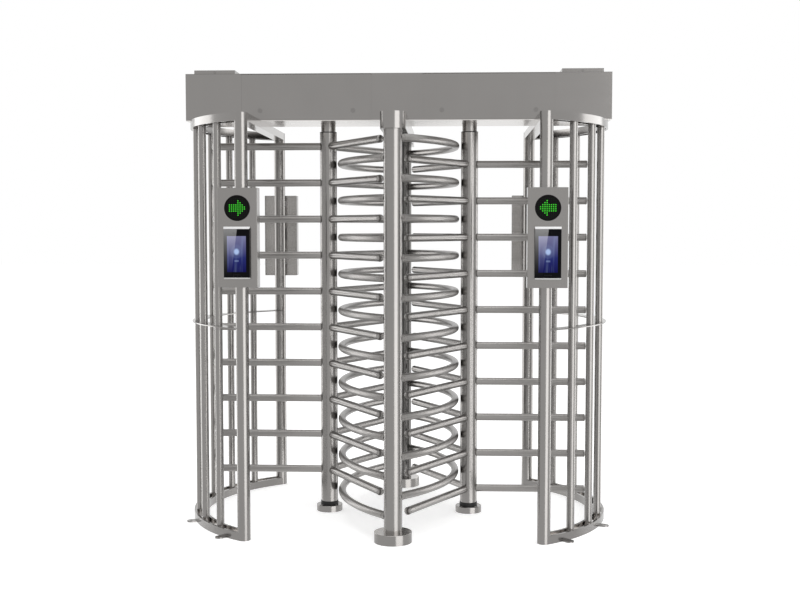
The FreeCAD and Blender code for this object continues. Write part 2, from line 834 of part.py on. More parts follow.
def canopy_bolt(x, y):
    head = hexagon(canopy_bolt_head_width, canopy_bolt_head_height)
    head.translate(point(x, y, floor_top))
    shank = rod(canopy_bolt_diameter / 2, x, y, floor_top - canopy_bolt_length, floor_top)
    return head.fuse(shank)


def hexagon(width, height):
    corner = width / math.sqrt(3)
    points = []
    for number in range(7):
        angle = math.radians(60 * number)
        points.append(point(corner * math.cos(angle), corner * math.sin(angle), 0))
    return Part.Face(Part.makePolygon(points)).extrude(point(0, 0, height))


def canopy_bolts():
    bolts = []
    for x, y in outer_beam_bolt_places():
        bolts.append(canopy_bolt(x, y))
        bolts.append(canopy_bolt(-x, y))
    for x, y in centre_beam_bolt_places():
        bolts.append(canopy_bolt(x, y))
    return group(bolts)


def head_plate():
    half = half_depth - head_plate_side_margin
    plate = block(rotor_offset - head_plate_inner_margin, rotor_offset + head_plate_outer_margin,
                  -half, half, floor_top, head_plate_top)
    hole_radius = shaft_spigot_diameter / 2 + head_plate_hole_gap
    return plate.cut(rod(hole_radius, rotor_offset, 0, floor_top, head_plate_top))


def top_bearing():
    half = bearing_flange_width / 2
    flange_top = head_plate_top + bearing_flange_thickness
    flange = block(rotor_offset - half, rotor_offset + half, -half, half, head_plate_top, flange_top)
    upright_edges = [edge for edge in flange.Edges if edge.BoundBox.ZLength > bearing_flange_thickness / 2]
    flange = flange.makeFillet(bearing_fillet, upright_edges)
    housing = rod(bearing_housing_diameter / 2, rotor_offset, 0, head_plate_top, bearing_top)
    housing = housing.makeChamfer(bearing_fillet / 2, [top_rim(housing)])
    bore = rod(shaft_journal_diameter / 2 + running_clearance, rotor_offset, 0, head_plate_top, bearing_top)
    return flange.fuse(housing).cut(bore).removeSplitter()


def gear(teeth, x, y, z_low, thickness, first_tooth):
    """Plain toothed wheel. first_tooth is the direction of one tooth in degrees."""
    pitch_radius = gear_module * teeth / 2
    root_radius = pitch_radius - gear_dedendum
    tip_radius = pitch_radius + gear_addendum
    step = 360.0 / teeth
    corners = []
    for number in range(teeth):
        middle = first_tooth + number * step
        half_root = step * tooth_root_share / 2
        half_tip = step * tooth_tip_share / 2
        for offset, radius in ((-half_root, root_radius), (-half_tip, tip_radius),
                               (half_tip, tip_radius), (half_root, root_radius)):
            angle = math.radians(middle + offset)
            corners.append(point(x + radius * math.cos(angle), y + radius * math.sin(angle), z_low))
    corners.append(corners[0])
    return Part.Face(Part.makePolygon(corners)).extrude(point(0, 0, thickness))


def lock_disc():
    disc = rod(lock_disc_diameter / 2, rotor_offset, 0, lock_disc_base, lock_disc_top)
    notch_bottom = rotor_offset + lock_disc_diameter / 2 - lock_notch_depth
    notch_outside = rotor_offset + lock_disc_diameter / 2 + lock_notch_depth
    notch = block(notch_bottom, notch_outside, -lock_notch_width / 2, lock_notch_width / 2,
                  lock_disc_base, lock_disc_top)
    step = 360.0 / lock_notch_count
    for number in range(lock_notch_count):
        disc = disc.cut(turned(notch, rotor_offset, 0, step * number))
    return disc


def index_wheel():
    wheel = gear(wheel_teeth, rotor_offset, 0, wheel_gear_base, wheel_gear_thickness, 0)
    wheel = wheel.fuse(rod(wheel_hub_diameter / 2, rotor_offset, 0, wheel_hub_base, wheel_hub_top))
    wheel = wheel.fuse(lock_disc())
    return wheel.cut(rod(shaft_seat_diameter / 2, rotor_offset, 0, wheel_hub_base, wheel_hub_top))


def damper_unit():
    foot_end = damper_foot_length / 2
    foot_side = damper_foot_width / 2
    body = rod(damper_diameter / 2, pinion_x, 0, head_plate_top, damper_top)
    foot = block(pinion_x - foot_side, pinion_x + foot_side, -foot_end, foot_end,
                 head_plate_top, head_plate_top + damper_foot_thickness)
    bore = rod(pinion_shaft_diameter / 2 + running_clearance, pinion_x, 0, damper_bore_base, damper_top)
    return body.fuse(foot).cut(bore)


def damper_pinion():
    half_tooth = 180.0 / pinion_teeth
    pinion = gear(pinion_teeth, pinion_x, 0, pinion_base, pinion_thickness, half_tooth)
    shaft_base = damper_bore_base + damper_bore_bottom_gap
    shaft_top = pinion_base + pinion_thickness + pinion_shaft_end
    return pinion.fuse(rod(pinion_shaft_diameter / 2, pinion_x, 0, shaft_base, shaft_top))


def lock_solenoid():
    """Rear solenoid of the right rotor, on its own foot."""
    half = solenoid_width / 2
    bore_depth = lock_bolt_depth + solenoid_bore_rest
    back = solenoid_front + bore_depth + solenoid_back_wall
    body = block(rotor_offset - half, rotor_offset + half, solenoid_front, back,
                 head_plate_top, lock_bolt_height + half)
    bore = Part.makeCylinder(lock_bolt_diameter / 2 + running_clearance, bore_depth,
                             point(rotor_offset, solenoid_front, lock_bolt_height), along_y)
    return body.cut(bore)


def lock_bolt():
    """Rear lock bolt of the right rotor, drawn back clear of the lock disc."""
    radius = lock_bolt_diameter / 2
    bolt = Part.makeCylinder(radius, lock_bolt_end - lock_bolt_tip,
                             point(rotor_offset, lock_bolt_tip, lock_bolt_height), along_y)
    bevel = block(rotor_offset - radius, rotor_offset - radius + lock_bolt_chamfer,
                  lock_bolt_tip, lock_bolt_tip + lock_bolt_chamfer,
                  lock_bolt_height - radius, lock_bolt_height + radius)
    collar_start = lock_bolt_tip + lock_bolt_collar_place
    collar = Part.makeCylinder(lock_bolt_collar_diameter / 2, lock_bolt_collar_length,
                               point(rotor_offset, collar_start, lock_bolt_height), along_y)
    return bolt.cut(bevel).fuse(collar)


def electric_box(place_x, place_y, length, depth, height):
    box = block(place_x - length / 2, place_x + length / 2, place_y - depth / 2, place_y + depth / 2,
                floor_top, floor_top + height)
    upright_edges = [edge for edge in box.Edges if edge.BoundBox.ZLength > height / 2]
    return box.makeFillet(box_edge_radius, upright_edges)


def reader_box():
    """Right-hand box for the rear face, open at its back."""
    half = reader_width / 2
    box = block(outer_post_x - half, outer_post_x + half, reader_back, reader_front,
                reader_base, reader_top)
    front_edges = [edge for edge in box.Edges
                   if edge.BoundBox.YMin > reader_front - 0.1 and edge.BoundBox.ZLength > 1]
    box = box.makeFillet(reader_wall, front_edges)
    box = box.cut(block(outer_post_x - half + reader_wall, outer_post_x + half - reader_wall,
                        reader_back, reader_front - reader_wall,
                        reader_base + reader_wall, reader_top - reader_wall))
    display_hole = Part.makeCylinder(display_barrel_diameter / 2 + display_hole_gap, reader_wall,
                                     point(outer_post_x, reader_front - reader_wall, display_height),
                                     along_y)
    cable_hole = Part.makeCylinder(terminal_cable_hole_diameter / 2, reader_wall,
                                   point(outer_post_x, reader_front - reader_wall,
                                         terminal_base + terminal_height / 2), along_y)
    return box.cut(display_hole).cut(cable_hole)


def reader_back_plate():
    """Plate that closes a reader box, with a seam groove and a cable slot beside the post."""
    half = reader_width / 2 - reader_wall
    low = reader_base + reader_wall
    high = reader_top - reader_wall
    plate = block(outer_post_x - half, outer_post_x + half,
                  reader_back, reader_back + reader_back_plate_thickness, low, high)
    slot_x = outer_post_x - cable_slot_offset
    slot_base = reader_base + cable_slot_rise
    groove = block(slot_x - back_groove_width / 2, slot_x + back_groove_width / 2,
                   reader_back, reader_back + back_groove_depth, low, high)
    slot = block(slot_x - cable_slot_width / 2, slot_x + cable_slot_width / 2,
                 reader_back, reader_back + reader_back_plate_thickness,
                 slot_base, slot_base + cable_slot_height)
    return plate.cut(groove).cut(slot)


def reader_saddle(z_low):
    half = saddle_width / 2
    saddle = block(outer_post_x - half, outer_post_x + half, reader_back - saddle_reach, reader_back,
                   z_low, z_low + saddle_height)
    return saddle.cut(rod(outer_post_radius, outer_post_x, outer_post_y, z_low, z_low + saddle_height))


def direction_display():
    face = Part.makeCylinder(display_face_diameter / 2, display_face_thickness,
                             point(outer_post_x, reader_front, display_height), along_y)
    barrel = Part.makeCylinder(display_barrel_diameter / 2, display_barrel_length,
                               point(outer_post_x, reader_front - display_barrel_length, display_height),
                               along_y)
    return face.fuse(barrel)


def face_terminal():
    half = terminal_width / 2
    front = reader_front + terminal_thickness
    body = block(outer_post_x - half, outer_post_x + half, reader_front, front,
                 terminal_base, terminal_base + terminal_height)
    front_edges = [edge for edge in body.Edges if edge.BoundBox.YMin > front - 0.1]
    return body.makeFillet(terminal_edge_radius, front_edges)


def on_four_corners(shape):
    return group([shape, other_side(shape), other_face(shape), other_side(other_face(shape))])


def both_sides(shape):
    return group([shape, other_side(shape)])


def save(name, shape):
    shape.exportStep("parts/" + name + ".step")


def save_frame():
    bars = cage_bars()
    bands = cage_bands()
    save("outer_posts", outer_posts())
    save("centre_posts", centre_posts())
    save("post_flanges", post_flanges())
    save("post_base_covers", post_base_covers())
    save("right_cage_bars", bars)
    save("left_cage_bars", other_side(bars))
    save("right_cage_bands", bands)
    save("left_cage_bands", other_side(bands))
    save("middle_rings", both_sides(middle_ring()))
    save("floor_tabs", floor_tabs())
    save("outer_top_beams", both_sides(outer_top_beam()))
    save("centre_top_beam", centre_top_beam())
    save("right_comb_bars", comb_bars(left_lowest_arm))
    save("left_comb_bars", other_side(comb_bars(right_lowest_arm)))
    save("floor_pivots", both_sides(floor_pivot()))
    save("seal_rings", both_sides(seal_ring()))


def save_rotors():
    column = rotor_column()
    shaft = rotor_shaft()
    bush = rotor_bush()
    save("right_rotor_column", column)
    save("left_rotor_column", other_side(column))
    save("right_rotor_shaft", shaft)
    save("left_rotor_shaft", other_side(shaft))
    save("right_rotor_bush", bush)
    save("left_rotor_bush", other_side(bush))
    save("right_rotor_arms", on_every_arm(rotor_arm, right_lowest_arm))
    save("left_rotor_arms", other_side(on_every_arm(rotor_arm, left_lowest_arm)))
    save("right_arm_plugs", on_every_arm(arm_plug, right_lowest_arm))
    save("left_arm_plugs", other_side(on_every_arm(arm_plug, left_lowest_arm)))


def save_canopy():
    door = service_door()
    inner_lock = door_lock(inner_lock_x, 1)
    outer_lock = door_lock(outer_lock_x, -1)
    save("canopy_floor_plate", canopy_floor_plate())
    save("canopy_roof_sheet", canopy_roof_sheet())
    save("canopy_rear_panel", canopy_rear_panel())
    save("canopy_end_panels", both_sides(canopy_end_panel()))
    save("canopy_front_panels", canopy_front_panels())
    save("canopy_bolts", canopy_bolts())
    save("right_service_door", door)
    save("left_service_door", other_side(door))
    save("door_hinge_pins", both_sides(door_hinge_pin()))
    save("right_door_inner_lock", inner_lock)
    save("right_door_outer_lock", outer_lock)
    save("left_door_inner_lock", other_side(inner_lock))
    save("left_door_outer_lock", other_side(outer_lock))
    save("roof_hatches", both_sides(roof_hatch()))
    save("hatch_screws", both_sides(hatch_screw()))


def save_mechanism():
    wheel = index_wheel()
    pinion = damper_pinion()
    rear_bolt = lock_bolt()
    front_bolt = other_face(rear_bolt)
    solenoid = lock_solenoid()
    save("head_plates", both_sides(head_plate()))
    save("top_bearings", both_sides(top_bearing()))
    save("right_index_wheel", wheel)
    save("left_index_wheel", other_side(wheel))
    save("damper_units", both_sides(damper_unit()))
    save("right_damper_pinion", pinion)
    save("left_damper_pinion", other_side(pinion))
    save("lock_solenoids", on_four_corners(solenoid))
    save("right_exit_lock_bolt", rear_bolt)
    save("right_entry_lock_bolt", front_bolt)
    save("left_exit_lock_bolt", other_side(rear_bolt))
    save("left_entry_lock_bolt", other_side(front_bolt))
    save("controller_box", electric_box(controller_place_x, controller_place_y, controller_length,
                                        controller_depth, controller_height))
    save("power_supply", electric_box(supply_place_x, supply_place_y, supply_length,
                                      supply_depth, supply_height))


def save_readers():
    low_saddle = reader_saddle(reader_base + low_saddle_rise)
    high_saddle = reader_saddle(reader_base + high_saddle_rise)
    save("reader_boxes", on_four_corners(reader_box()))
    save("reader_back_plates", on_four_corners(reader_back_plate()))
    save("reader_saddles", group([on_four_corners(low_saddle), on_four_corners(high_saddle)]))
    save("direction_displays", on_four_corners(direction_display()))
    save("face_terminals", on_four_corners(face_terminal()))


os.makedirs("parts", exist_ok=True)
save_frame()
save_rotors()
save_canopy()
save_mechanism()
save_readers()
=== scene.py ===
import math

import bmesh
import bpy
from mathutils import Matrix, Vector


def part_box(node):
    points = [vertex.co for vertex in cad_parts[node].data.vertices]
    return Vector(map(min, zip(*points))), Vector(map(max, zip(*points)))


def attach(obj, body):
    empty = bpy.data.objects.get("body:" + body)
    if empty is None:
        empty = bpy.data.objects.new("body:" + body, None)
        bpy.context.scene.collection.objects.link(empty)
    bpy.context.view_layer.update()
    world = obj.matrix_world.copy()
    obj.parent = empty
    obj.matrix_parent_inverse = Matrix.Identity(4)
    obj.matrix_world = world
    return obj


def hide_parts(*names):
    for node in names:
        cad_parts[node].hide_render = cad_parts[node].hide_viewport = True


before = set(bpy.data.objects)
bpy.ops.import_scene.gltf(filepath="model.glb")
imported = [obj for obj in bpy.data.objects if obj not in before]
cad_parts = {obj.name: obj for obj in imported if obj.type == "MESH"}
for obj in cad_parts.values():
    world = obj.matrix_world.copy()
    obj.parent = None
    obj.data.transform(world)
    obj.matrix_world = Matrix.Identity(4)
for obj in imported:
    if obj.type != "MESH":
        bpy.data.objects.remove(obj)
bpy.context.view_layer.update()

# Places read from the part's nodes, in metres
_, READER_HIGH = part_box("reader_boxes")
DISPLAY_LOW, DISPLAY_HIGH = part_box("direction_displays")
TERMINAL_LOW, TERMINAL_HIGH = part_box("face_terminals")
_, POST_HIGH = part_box("outer_posts")
_, COLUMN_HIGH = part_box("right_rotor_column")
RIGHT_ARMS_LOW, RIGHT_ARMS_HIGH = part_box("right_rotor_arms")
LEFT_ARMS_LOW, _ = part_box("left_rotor_arms")
_, PLUGS_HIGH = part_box("right_arm_plugs")
_, BANDS_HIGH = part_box("right_cage_bands")
DOOR_LOW, DOOR_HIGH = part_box("right_service_door")
_, COVERS_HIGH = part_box("post_base_covers")
_, CENTRE_POSTS_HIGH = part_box("centre_posts")

# Sizes that a node's box doesn't give
TERMINAL_WIDTH = 0.122
TUBE_RADIUS = 0.019
ARM_LEVELS = 10
COMB_BEND_RADIUS = 0.8651
OUTER_POST_RADIUS = 0.0315
BAND_OUTER_RADIUS = 0.786
BAND_THICKNESS = 0.012
BAND_INNER_RADIUS = 0.724
COMB_TO_COLUMN_GAP = 0.0085
BAND_EDGE_MARGIN = 0.001
TOP_FACE_MARGIN = 0.0008
SCREEN_HALF_WIDTH = 0.0445
SCREEN_HALF_HEIGHT = 0.0840
SCREEN_SHIFT = -0.0060
# Strength of the painted reflection band on the terminal glass
PAINTED_SHEEN_LEVEL = 0.27
WELD_BEAD_RADIUS = 0.0014
TIP_SEAM_INSET = 0.012
WELD_STAND_OFF = 0.0004

# Places worked out from them
READER_FACE_Y = READER_HIGH[1]
DISPLAY_RADIUS = (DISPLAY_HIGH[2] - DISPLAY_LOW[2]) / 2
DISPLAY_Z = (DISPLAY_HIGH[2] + DISPLAY_LOW[2]) / 2
DISPLAY_FACE_Y = DISPLAY_HIGH[1]
TERMINAL_LOW_Z = TERMINAL_LOW[2]
TERMINAL_HEIGHT = TERMINAL_HIGH[2] - TERMINAL_LOW[2]
TERMINAL_FRONT_Y = TERMINAL_HIGH[1]
POST_X = POST_HIGH[0] - OUTER_POST_RADIUS
CENTRE_POST_RADIUS = CENTRE_POSTS_HIGH[0]
CENTRE_POST_Y = CENTRE_POSTS_HIGH[1] - CENTRE_POST_RADIUS
COLUMN_RADIUS = COLUMN_HIGH[1]
ROTOR_X = COLUMN_HIGH[0] - COLUMN_RADIUS
ARM_REACH = PLUGS_HIGH[0] - ROTOR_X
RIGHT_LOWEST_ARM = RIGHT_ARMS_LOW[2] + TUBE_RADIUS
LEFT_LOWEST_ARM = LEFT_ARMS_LOW[2] + TUBE_RADIUS
ARM_PITCH = (RIGHT_ARMS_HIGH[2] - RIGHT_ARMS_LOW[2] - 2 * TUBE_RADIUS) / (ARM_LEVELS - 1)
CAGE_CENTRE_X = BANDS_HIGH[0] - BAND_OUTER_RADIUS
COMB_TIP_X = ROTOR_X - COLUMN_RADIUS - COMB_TO_COLUMN_GAP - TUBE_RADIUS


# Materials

def new_material(name):
    mat = bpy.data.materials.new(name)
    mat.use_nodes = True
    nodes = mat.node_tree.nodes
    nodes.clear()
    out = nodes.new("ShaderNodeOutputMaterial")
    return mat, nodes, mat.node_tree.links, out


def principled(nodes, links, out, metallic, roughness, specular=0.5):
    bsdf = nodes.new("ShaderNodeBsdfPrincipled")
    bsdf.inputs["Metallic"].default_value = metallic
    bsdf.inputs["Roughness"].default_value = roughness
    bsdf.inputs["Specular IOR Level"].default_value = specular
    links.new(bsdf.outputs["BSDF"], out.inputs["Surface"])
    return bsdf


def object_noise(nodes, links, scale, detail=3.0, noise_scale=1.0):
    coords = nodes.new("ShaderNodeTexCoord")
    mapping = nodes.new("ShaderNodeMapping")
    mapping.inputs["Scale"].default_value = scale
    links.new(coords.outputs["Object"], mapping.inputs["Vector"])
    noise = nodes.new("ShaderNodeTexNoise")
    noise.inputs["Scale"].default_value = noise_scale
    noise.inputs["Detail"].default_value = detail
    links.new(mapping.outputs["Vector"], noise.inputs["Vector"])
    return noise


def map_range(nodes, links, source, low, high):
    node = nodes.new("ShaderNodeMapRange")
    node.inputs["From Min"].default_value = 0.25
    node.inputs["From Max"].default_value = 0.75
    node.inputs["To Min"].default_value = low
    node.inputs["To Max"].default_value = high
    links.new(source, node.inputs["Value"])
    return node.outputs["Result"]


def two_colours(nodes, links, source, dark, light):
    ramp = nodes.new("ShaderNodeValToRGB")
    ramp.color_ramp.elements[0].position = 0.3
    ramp.color_ramp.elements[0].color = (*dark, 1.0)
    ramp.color_ramp.elements[1].position = 0.7
    ramp.color_ramp.elements[1].color = (*light, 1.0)
    links.new(source, ramp.inputs["Fac"])
    return ramp.outputs["Color"]


def metal(name, colour, grain, roughness=(0.13, 0.20), bump=0.03, spread=0.04):
    """Satin metal. grain is the noise scale along X, Y and Z; a low value is the brushing direction."""
    mat, nodes, links, out = new_material(name)
    bsdf = principled(nodes, links, out, 1.0, 0.16)
    fine = object_noise(nodes, links, grain, 4.0)
    broad = object_noise(nodes, links, (5.0, 5.0, 3.0), 2.0)
    dark = tuple(c * (1.0 - spread) for c in colour)
    light = tuple(c * (1.0 + spread) for c in colour)
    links.new(two_colours(nodes, links, broad.outputs["Fac"], dark, light), bsdf.inputs["Base Color"])
    links.new(map_range(nodes, links, fine.outputs["Fac"], *roughness), bsdf.inputs["Roughness"])
    tilt = nodes.new("ShaderNodeBump")
    tilt.inputs["Strength"].default_value = bump
    tilt.inputs["Distance"].default_value = 0.0003
    links.new(fine.outputs["Fac"], tilt.inputs["Height"])
    links.new(tilt.outputs["Normal"], bsdf.inputs["Normal"])
    return mat


def plastic(name, dark, light, roughness, grain=900.0, bump=0.15, specular=0.5):
    mat, nodes, links, out = new_material(name)
    bsdf = principled(nodes, links, out, 0.0, roughness, specular)
    fine = object_noise(nodes, links, (grain, grain, grain), 2.0)
    links.new(two_colours(nodes, links, fine.outputs["Fac"], dark, light), bsdf.inputs["Base Color"])
    links.new(map_range(nodes, links, fine.outputs["Fac"], roughness * 0.85, roughness * 1.15),
              bsdf.inputs["Roughness"])
    tilt = nodes.new("ShaderNodeBump")
    tilt.inputs["Strength"].default_value = bump
    tilt.inputs["Distance"].default_value = 0.0002
    links.new(fine.outputs["Fac"], tilt.inputs["Height"])
    links.new(tilt.outputs["Normal"], bsdf.inputs["Normal"])
    return mat


def led_material(name, colour, strength):
    """Small lamp. Its light varies a little from place to place by noise."""
    mat, nodes, links, out = new_material(name)
    bsdf = principled(nodes, links, out, 0.0, 0.25, 0.3)
    bsdf.inputs["Base Color"].default_value = (colour[0] * 0.2, colour[1] * 0.2, colour[2] * 0.2, 1.0)
    noise = object_noise(nodes, links, (700.0, 700.0, 700.0), 1.0)
    bright = colour
    soft = tuple(c * 0.75 for c in colour)
    links.new(two_colours(nodes, links, noise.outputs["Fac"], soft, bright), bsdf.inputs["Emission Color"])
    bsdf.inputs["Emission Strength"].default_value = strength
    return mat


def value_maker(nodes, links):
    """Returns a function that adds one arithmetic step and gives its output."""
    def value(operation, a, b=None, clamp=False):
        node = nodes.new("ShaderNodeMath")
        node.operation = operation
        node.use_clamp = clamp
        for socket, item in ((node.inputs[0], a), (node.inputs[1], b)):
            if item is None:
                continue
            if isinstance(item, (int, float)):
                socket.default_value = item
            else:
                links.new(item, socket)
        return node.outputs[0]
    return value


def object_axes(nodes, links):
    coords = nodes.new("ShaderNodeTexCoord")
    split = nodes.new("ShaderNodeSeparateXYZ")
    links.new(coords.outputs["Object"], split.inputs["Vector"])
    return split.outputs["X"], split.outputs["Y"], split.outputs["Z"]


def painted_sheen_band(value, across, up):
    """Painted reflection: a pale sheen band over the left half of a terminal. It fades downwards and its
    right edge leans.
    """
    fade = value("DIVIDE", value("ADD", up, TERMINAL_HEIGHT / 2), TERMINAL_HEIGHT, True)
    edge = value("ADD", value("MULTIPLY", value("SUBTRACT", up, 0.105), 0.125), 0.0023)
    inside = value("DIVIDE", value("SUBTRACT", edge, across), 0.0012, True)
    return value("MULTIPLY", value("MULTIPLY", value("MULTIPLY", fade, fade), inside), PAINTED_SHEEN_LEVEL)


def glass_material(name):
    """Black cover glass with the painted sheen band, a painted reflection."""
    mat, nodes, links, out = new_material(name)
    bsdf = principled(nodes, links, out, 0.0, 0.10, 0.05)
    value = value_maker(nodes, links)
    across, _, up = object_axes(nodes, links)
    blend = nodes.new("ShaderNodeMix")
    blend.data_type = "RGBA"
    blend.inputs["A"].default_value = (0.003, 0.003, 0.004, 1.0)
    blend.inputs["B"].default_value = (1.0, 1.0, 1.0, 1.0)
    links.new(painted_sheen_band(value, across, up), blend.inputs["Factor"])
    links.new(blend.outputs["Result"], bsdf.inputs["Base Color"])
    fine = object_noise(nodes, links, (90.0, 90.0, 90.0), 2.0)
    links.new(map_range(nodes, links, fine.outputs["Fac"], 0.08, 0.12), bsdf.inputs["Roughness"])
    return mat


def screen_material(name):
    """Lit blue screen with a soft round glow near its middle and a faint short line below it. Its base colour
    carries the painted sheen band, a painted reflection.
    """
    mat, nodes, links, out = new_material(name)
    bsdf = principled(nodes, links, out, 0.0, 0.08, 0.05)
    value = value_maker(nodes, links)
    across, _, up = object_axes(nodes, links)
    # Painted reflection: the sheen band carries on over the screen
    band = painted_sheen_band(value, across, value("ADD", up, SCREEN_SHIFT))
    under = nodes.new("ShaderNodeMix")
    under.data_type = "RGBA"
    under.inputs["A"].default_value = (0.003, 0.003, 0.004, 1.0)
    under.inputs["B"].default_value = (1.0, 1.0, 1.0, 1.0)
    links.new(band, under.inputs["Factor"])
    links.new(under.outputs["Result"], bsdf.inputs["Base Color"])

    height_ramp = nodes.new("ShaderNodeValToRGB")
    elements = height_ramp.color_ramp.elements
    elements[0].position = 0.0
    elements[0].color = (0.001, 0.001, 0.072, 1.0)
    elements[1].position = 1.0
    elements[1].color = (0.165, 0.165, 0.300, 1.0)
    middle = elements.new(0.40)
    middle.color = (0.015, 0.020, 0.140, 1.0)
    links.new(value("ADD", value("DIVIDE", up, 2 * SCREEN_HALF_HEIGHT), 0.5, True), height_ramp.inputs["Fac"])

    glow_x = value("DIVIDE", across, 0.0115)
    glow_z = value("DIVIDE", value("SUBTRACT", up, 0.0110), 0.0135)
    squares = value("ADD", value("MULTIPLY", glow_x, glow_x), value("MULTIPLY", glow_z, glow_z))
    distance = value("SQRT", squares)
    disc = value("MULTIPLY", value("SUBTRACT", 1.30, distance), 1.7, True)
    wide = value("SUBTRACT", 1.0, value("MULTIPLY", distance, 0.34), True)
    from_ring = value("ABSOLUTE", value("SUBTRACT", distance, 2.1))
    ring = value("SUBTRACT", 1.0, value("MULTIPLY", from_ring, 7.0), True)
    line_x = value("SUBTRACT", 1.0, value("DIVIDE", value("ABSOLUTE", across), 0.0115), True)
    from_line = value("ABSOLUTE", value("ADD", up, 0.0320))
    line_z = value("SUBTRACT", 1.0, value("DIVIDE", from_line, 0.0055), True)
    line = value("MULTIPLY", value("MULTIPLY", line_x, 3.0, True), value("MULTIPLY", line_z, 2.0, True))
    streak_noise = object_noise(nodes, links, (60.0, 1.0, 6.0), 2.0)
    streaks = value("MULTIPLY", value("SUBTRACT", streak_noise.outputs["Fac"], 0.53), 0.45, True)
    light = value("ADD", value("MULTIPLY", disc, 0.62), value("MULTIPLY", wide, 0.16))
    light = value("ADD", light, value("MULTIPLY", ring, 0.04))
    light = value("ADD", light, value("MULTIPLY", line, 0.20))
    light = value("ADD", light, streaks, True)
    blend = nodes.new("ShaderNodeMix")
    blend.data_type = "RGBA"
    links.new(light, blend.inputs["Factor"])
    links.new(height_ramp.outputs["Color"], blend.inputs["A"])
    blend.inputs["B"].default_value = (0.50, 0.66, 1.0, 1.0)
    links.new(blend.outputs["Result"], bsdf.inputs["Emission Color"])
    bsdf.inputs["Emission Strength"].default_value = 1.0
    return mat


def add_zone(mat, zone_colour, make_mask):
    """Gives one zone of a metal its own tone; here every zone is painted light or painted shade. make_mask
    gives 0 outside the zone and 1 inside it.
    """
    nodes, links = mat.node_tree.nodes, mat.node_tree.links
    bsdf = next(node for node in nodes if node.type == "BSDF_PRINCIPLED")
    plain = bsdf.inputs["Base Color"].links[0].from_socket
    value = value_maker(nodes, links)
    mask = make_mask(value, *object_axes(nodes, links))
    blend = nodes.new("ShaderNodeMix")
    blend.data_type = "RGBA"
    links.new(mask, blend.inputs["Factor"])
    links.new(plain, blend.inputs["A"])
    blend.inputs["B"].default_value = (*zone_colour, 1.0)
    links.new(blend.outputs["Result"], bsdf.inputs["Base Color"])
    return mat


def painted_light_between_bands(value, across, along, up):
    """Painted light: the faces of the cage bands that look at the bars between them, made lighter where shade
    falls.
    """
    side = value("SUBTRACT", value("ABSOLUTE", across), CAGE_CENTRE_X)
    radius = value("SQRT", value("ADD", value("MULTIPLY", side, side), value("MULTIPLY", along, along)))
    beyond = value("GREATER_THAN", radius, BAND_INNER_RADIUS + BAND_THICKNESS - BAND_EDGE_MARGIN)
    within = value("LESS_THAN", radius, BAND_OUTER_RADIUS - BAND_THICKNESS + BAND_EDGE_MARGIN)
    return value("MULTIPLY", beyond, within)


def shaded_side_of_rear_post(value, across, along, up):
    """The half of the rear centre post that looks into the machine."""
    return value("MULTIPLY", value("GREATER_THAN", along, 0.0),
                 value("DIVIDE", value("SUBTRACT", CENTRE_POST_Y + 0.010, along), 0.020, True))


def painted_light_behind_front_post(value, across, along, up):
    """Painted light: all of the centre beam but its front end, which stands on the front post, is made
    lighter.
    """
    return value("GREATER_THAN", along, 0.080 - CENTRE_POST_Y)


def painted_light_on_cover_tops(value, across, along, up):
    """Painted light: the level tops of the post covers are made lighter."""
    return value("GREATER_THAN", up, COVERS_HIGH[2] - TOP_FACE_MARGIN)


STEEL = (0.250, 0.241, 0.233)
UPRIGHT_GRAIN = (260.0, 260.0, 5.0)
SHEET_GRAIN = (4.0, 240.0, 240.0)
ROUND_GRAIN = (170.0, 170.0, 170.0)
SMALL_GRAIN = (300.0, 300.0, 300.0)
DEEP_BLACK = (0.003, 0.003, 0.003)
SOFT_BLACK = (0.005, 0.005, 0.005)


def shade(factor):
    return tuple(c * factor for c in STEEL)


def satin(name, colour, grain, roughness):
    return metal("satin_steel_" + name, colour, grain, roughness, 0.01, 0.02)


steel_upright = satin("upright", STEEL, UPRIGHT_GRAIN, (0.20, 0.25))
steel_flat = satin("sheet", STEEL, SHEET_GRAIN, (0.16, 0.20))
steel_roof = satin("roof", shade(0.62), SHEET_GRAIN, (0.46, 0.54))
steel_round = satin("round", STEEL, ROUND_GRAIN, (0.16, 0.20))
steel_arm = satin("arm", shade(1.12), ROUND_GRAIN, (0.27, 0.32))
steel_comb = satin("comb", shade(1.22), ROUND_GRAIN, (0.27, 0.32))
steel_post = add_zone(satin("centre_post", STEEL, UPRIGHT_GRAIN, (0.20, 0.25)),
                      shade(0.38), shaded_side_of_rear_post)
# Painted light: the outer top beams get a lighter copy of the steel
steel_beam_painted_light = satin("outer_beam_painted_light", shade(1.6), SHEET_GRAIN, (0.16, 0.20))
# Painted light on the centre beam behind its front end
steel_centre_beam = add_zone(satin("centre_beam", STEEL, ROUND_GRAIN, (0.16, 0.20)),
                             shade(1.6), painted_light_behind_front_post)
# Painted light on the level tops of the post covers
steel_cover = add_zone(satin("post_cover", STEEL, ROUND_GRAIN, (0.16, 0.20)),
                       shade(2.0), painted_light_on_cover_tops)
steel_bar = satin("cage_bar", STEEL, UPRIGHT_GRAIN, (0.24, 0.28))
# Painted light on the band faces in the gap between the cage bands
steel_band = add_zone(satin("cage_band", STEEL, ROUND_GRAIN, (0.16, 0.20)),
                      shade(2.8), painted_light_between_bands)
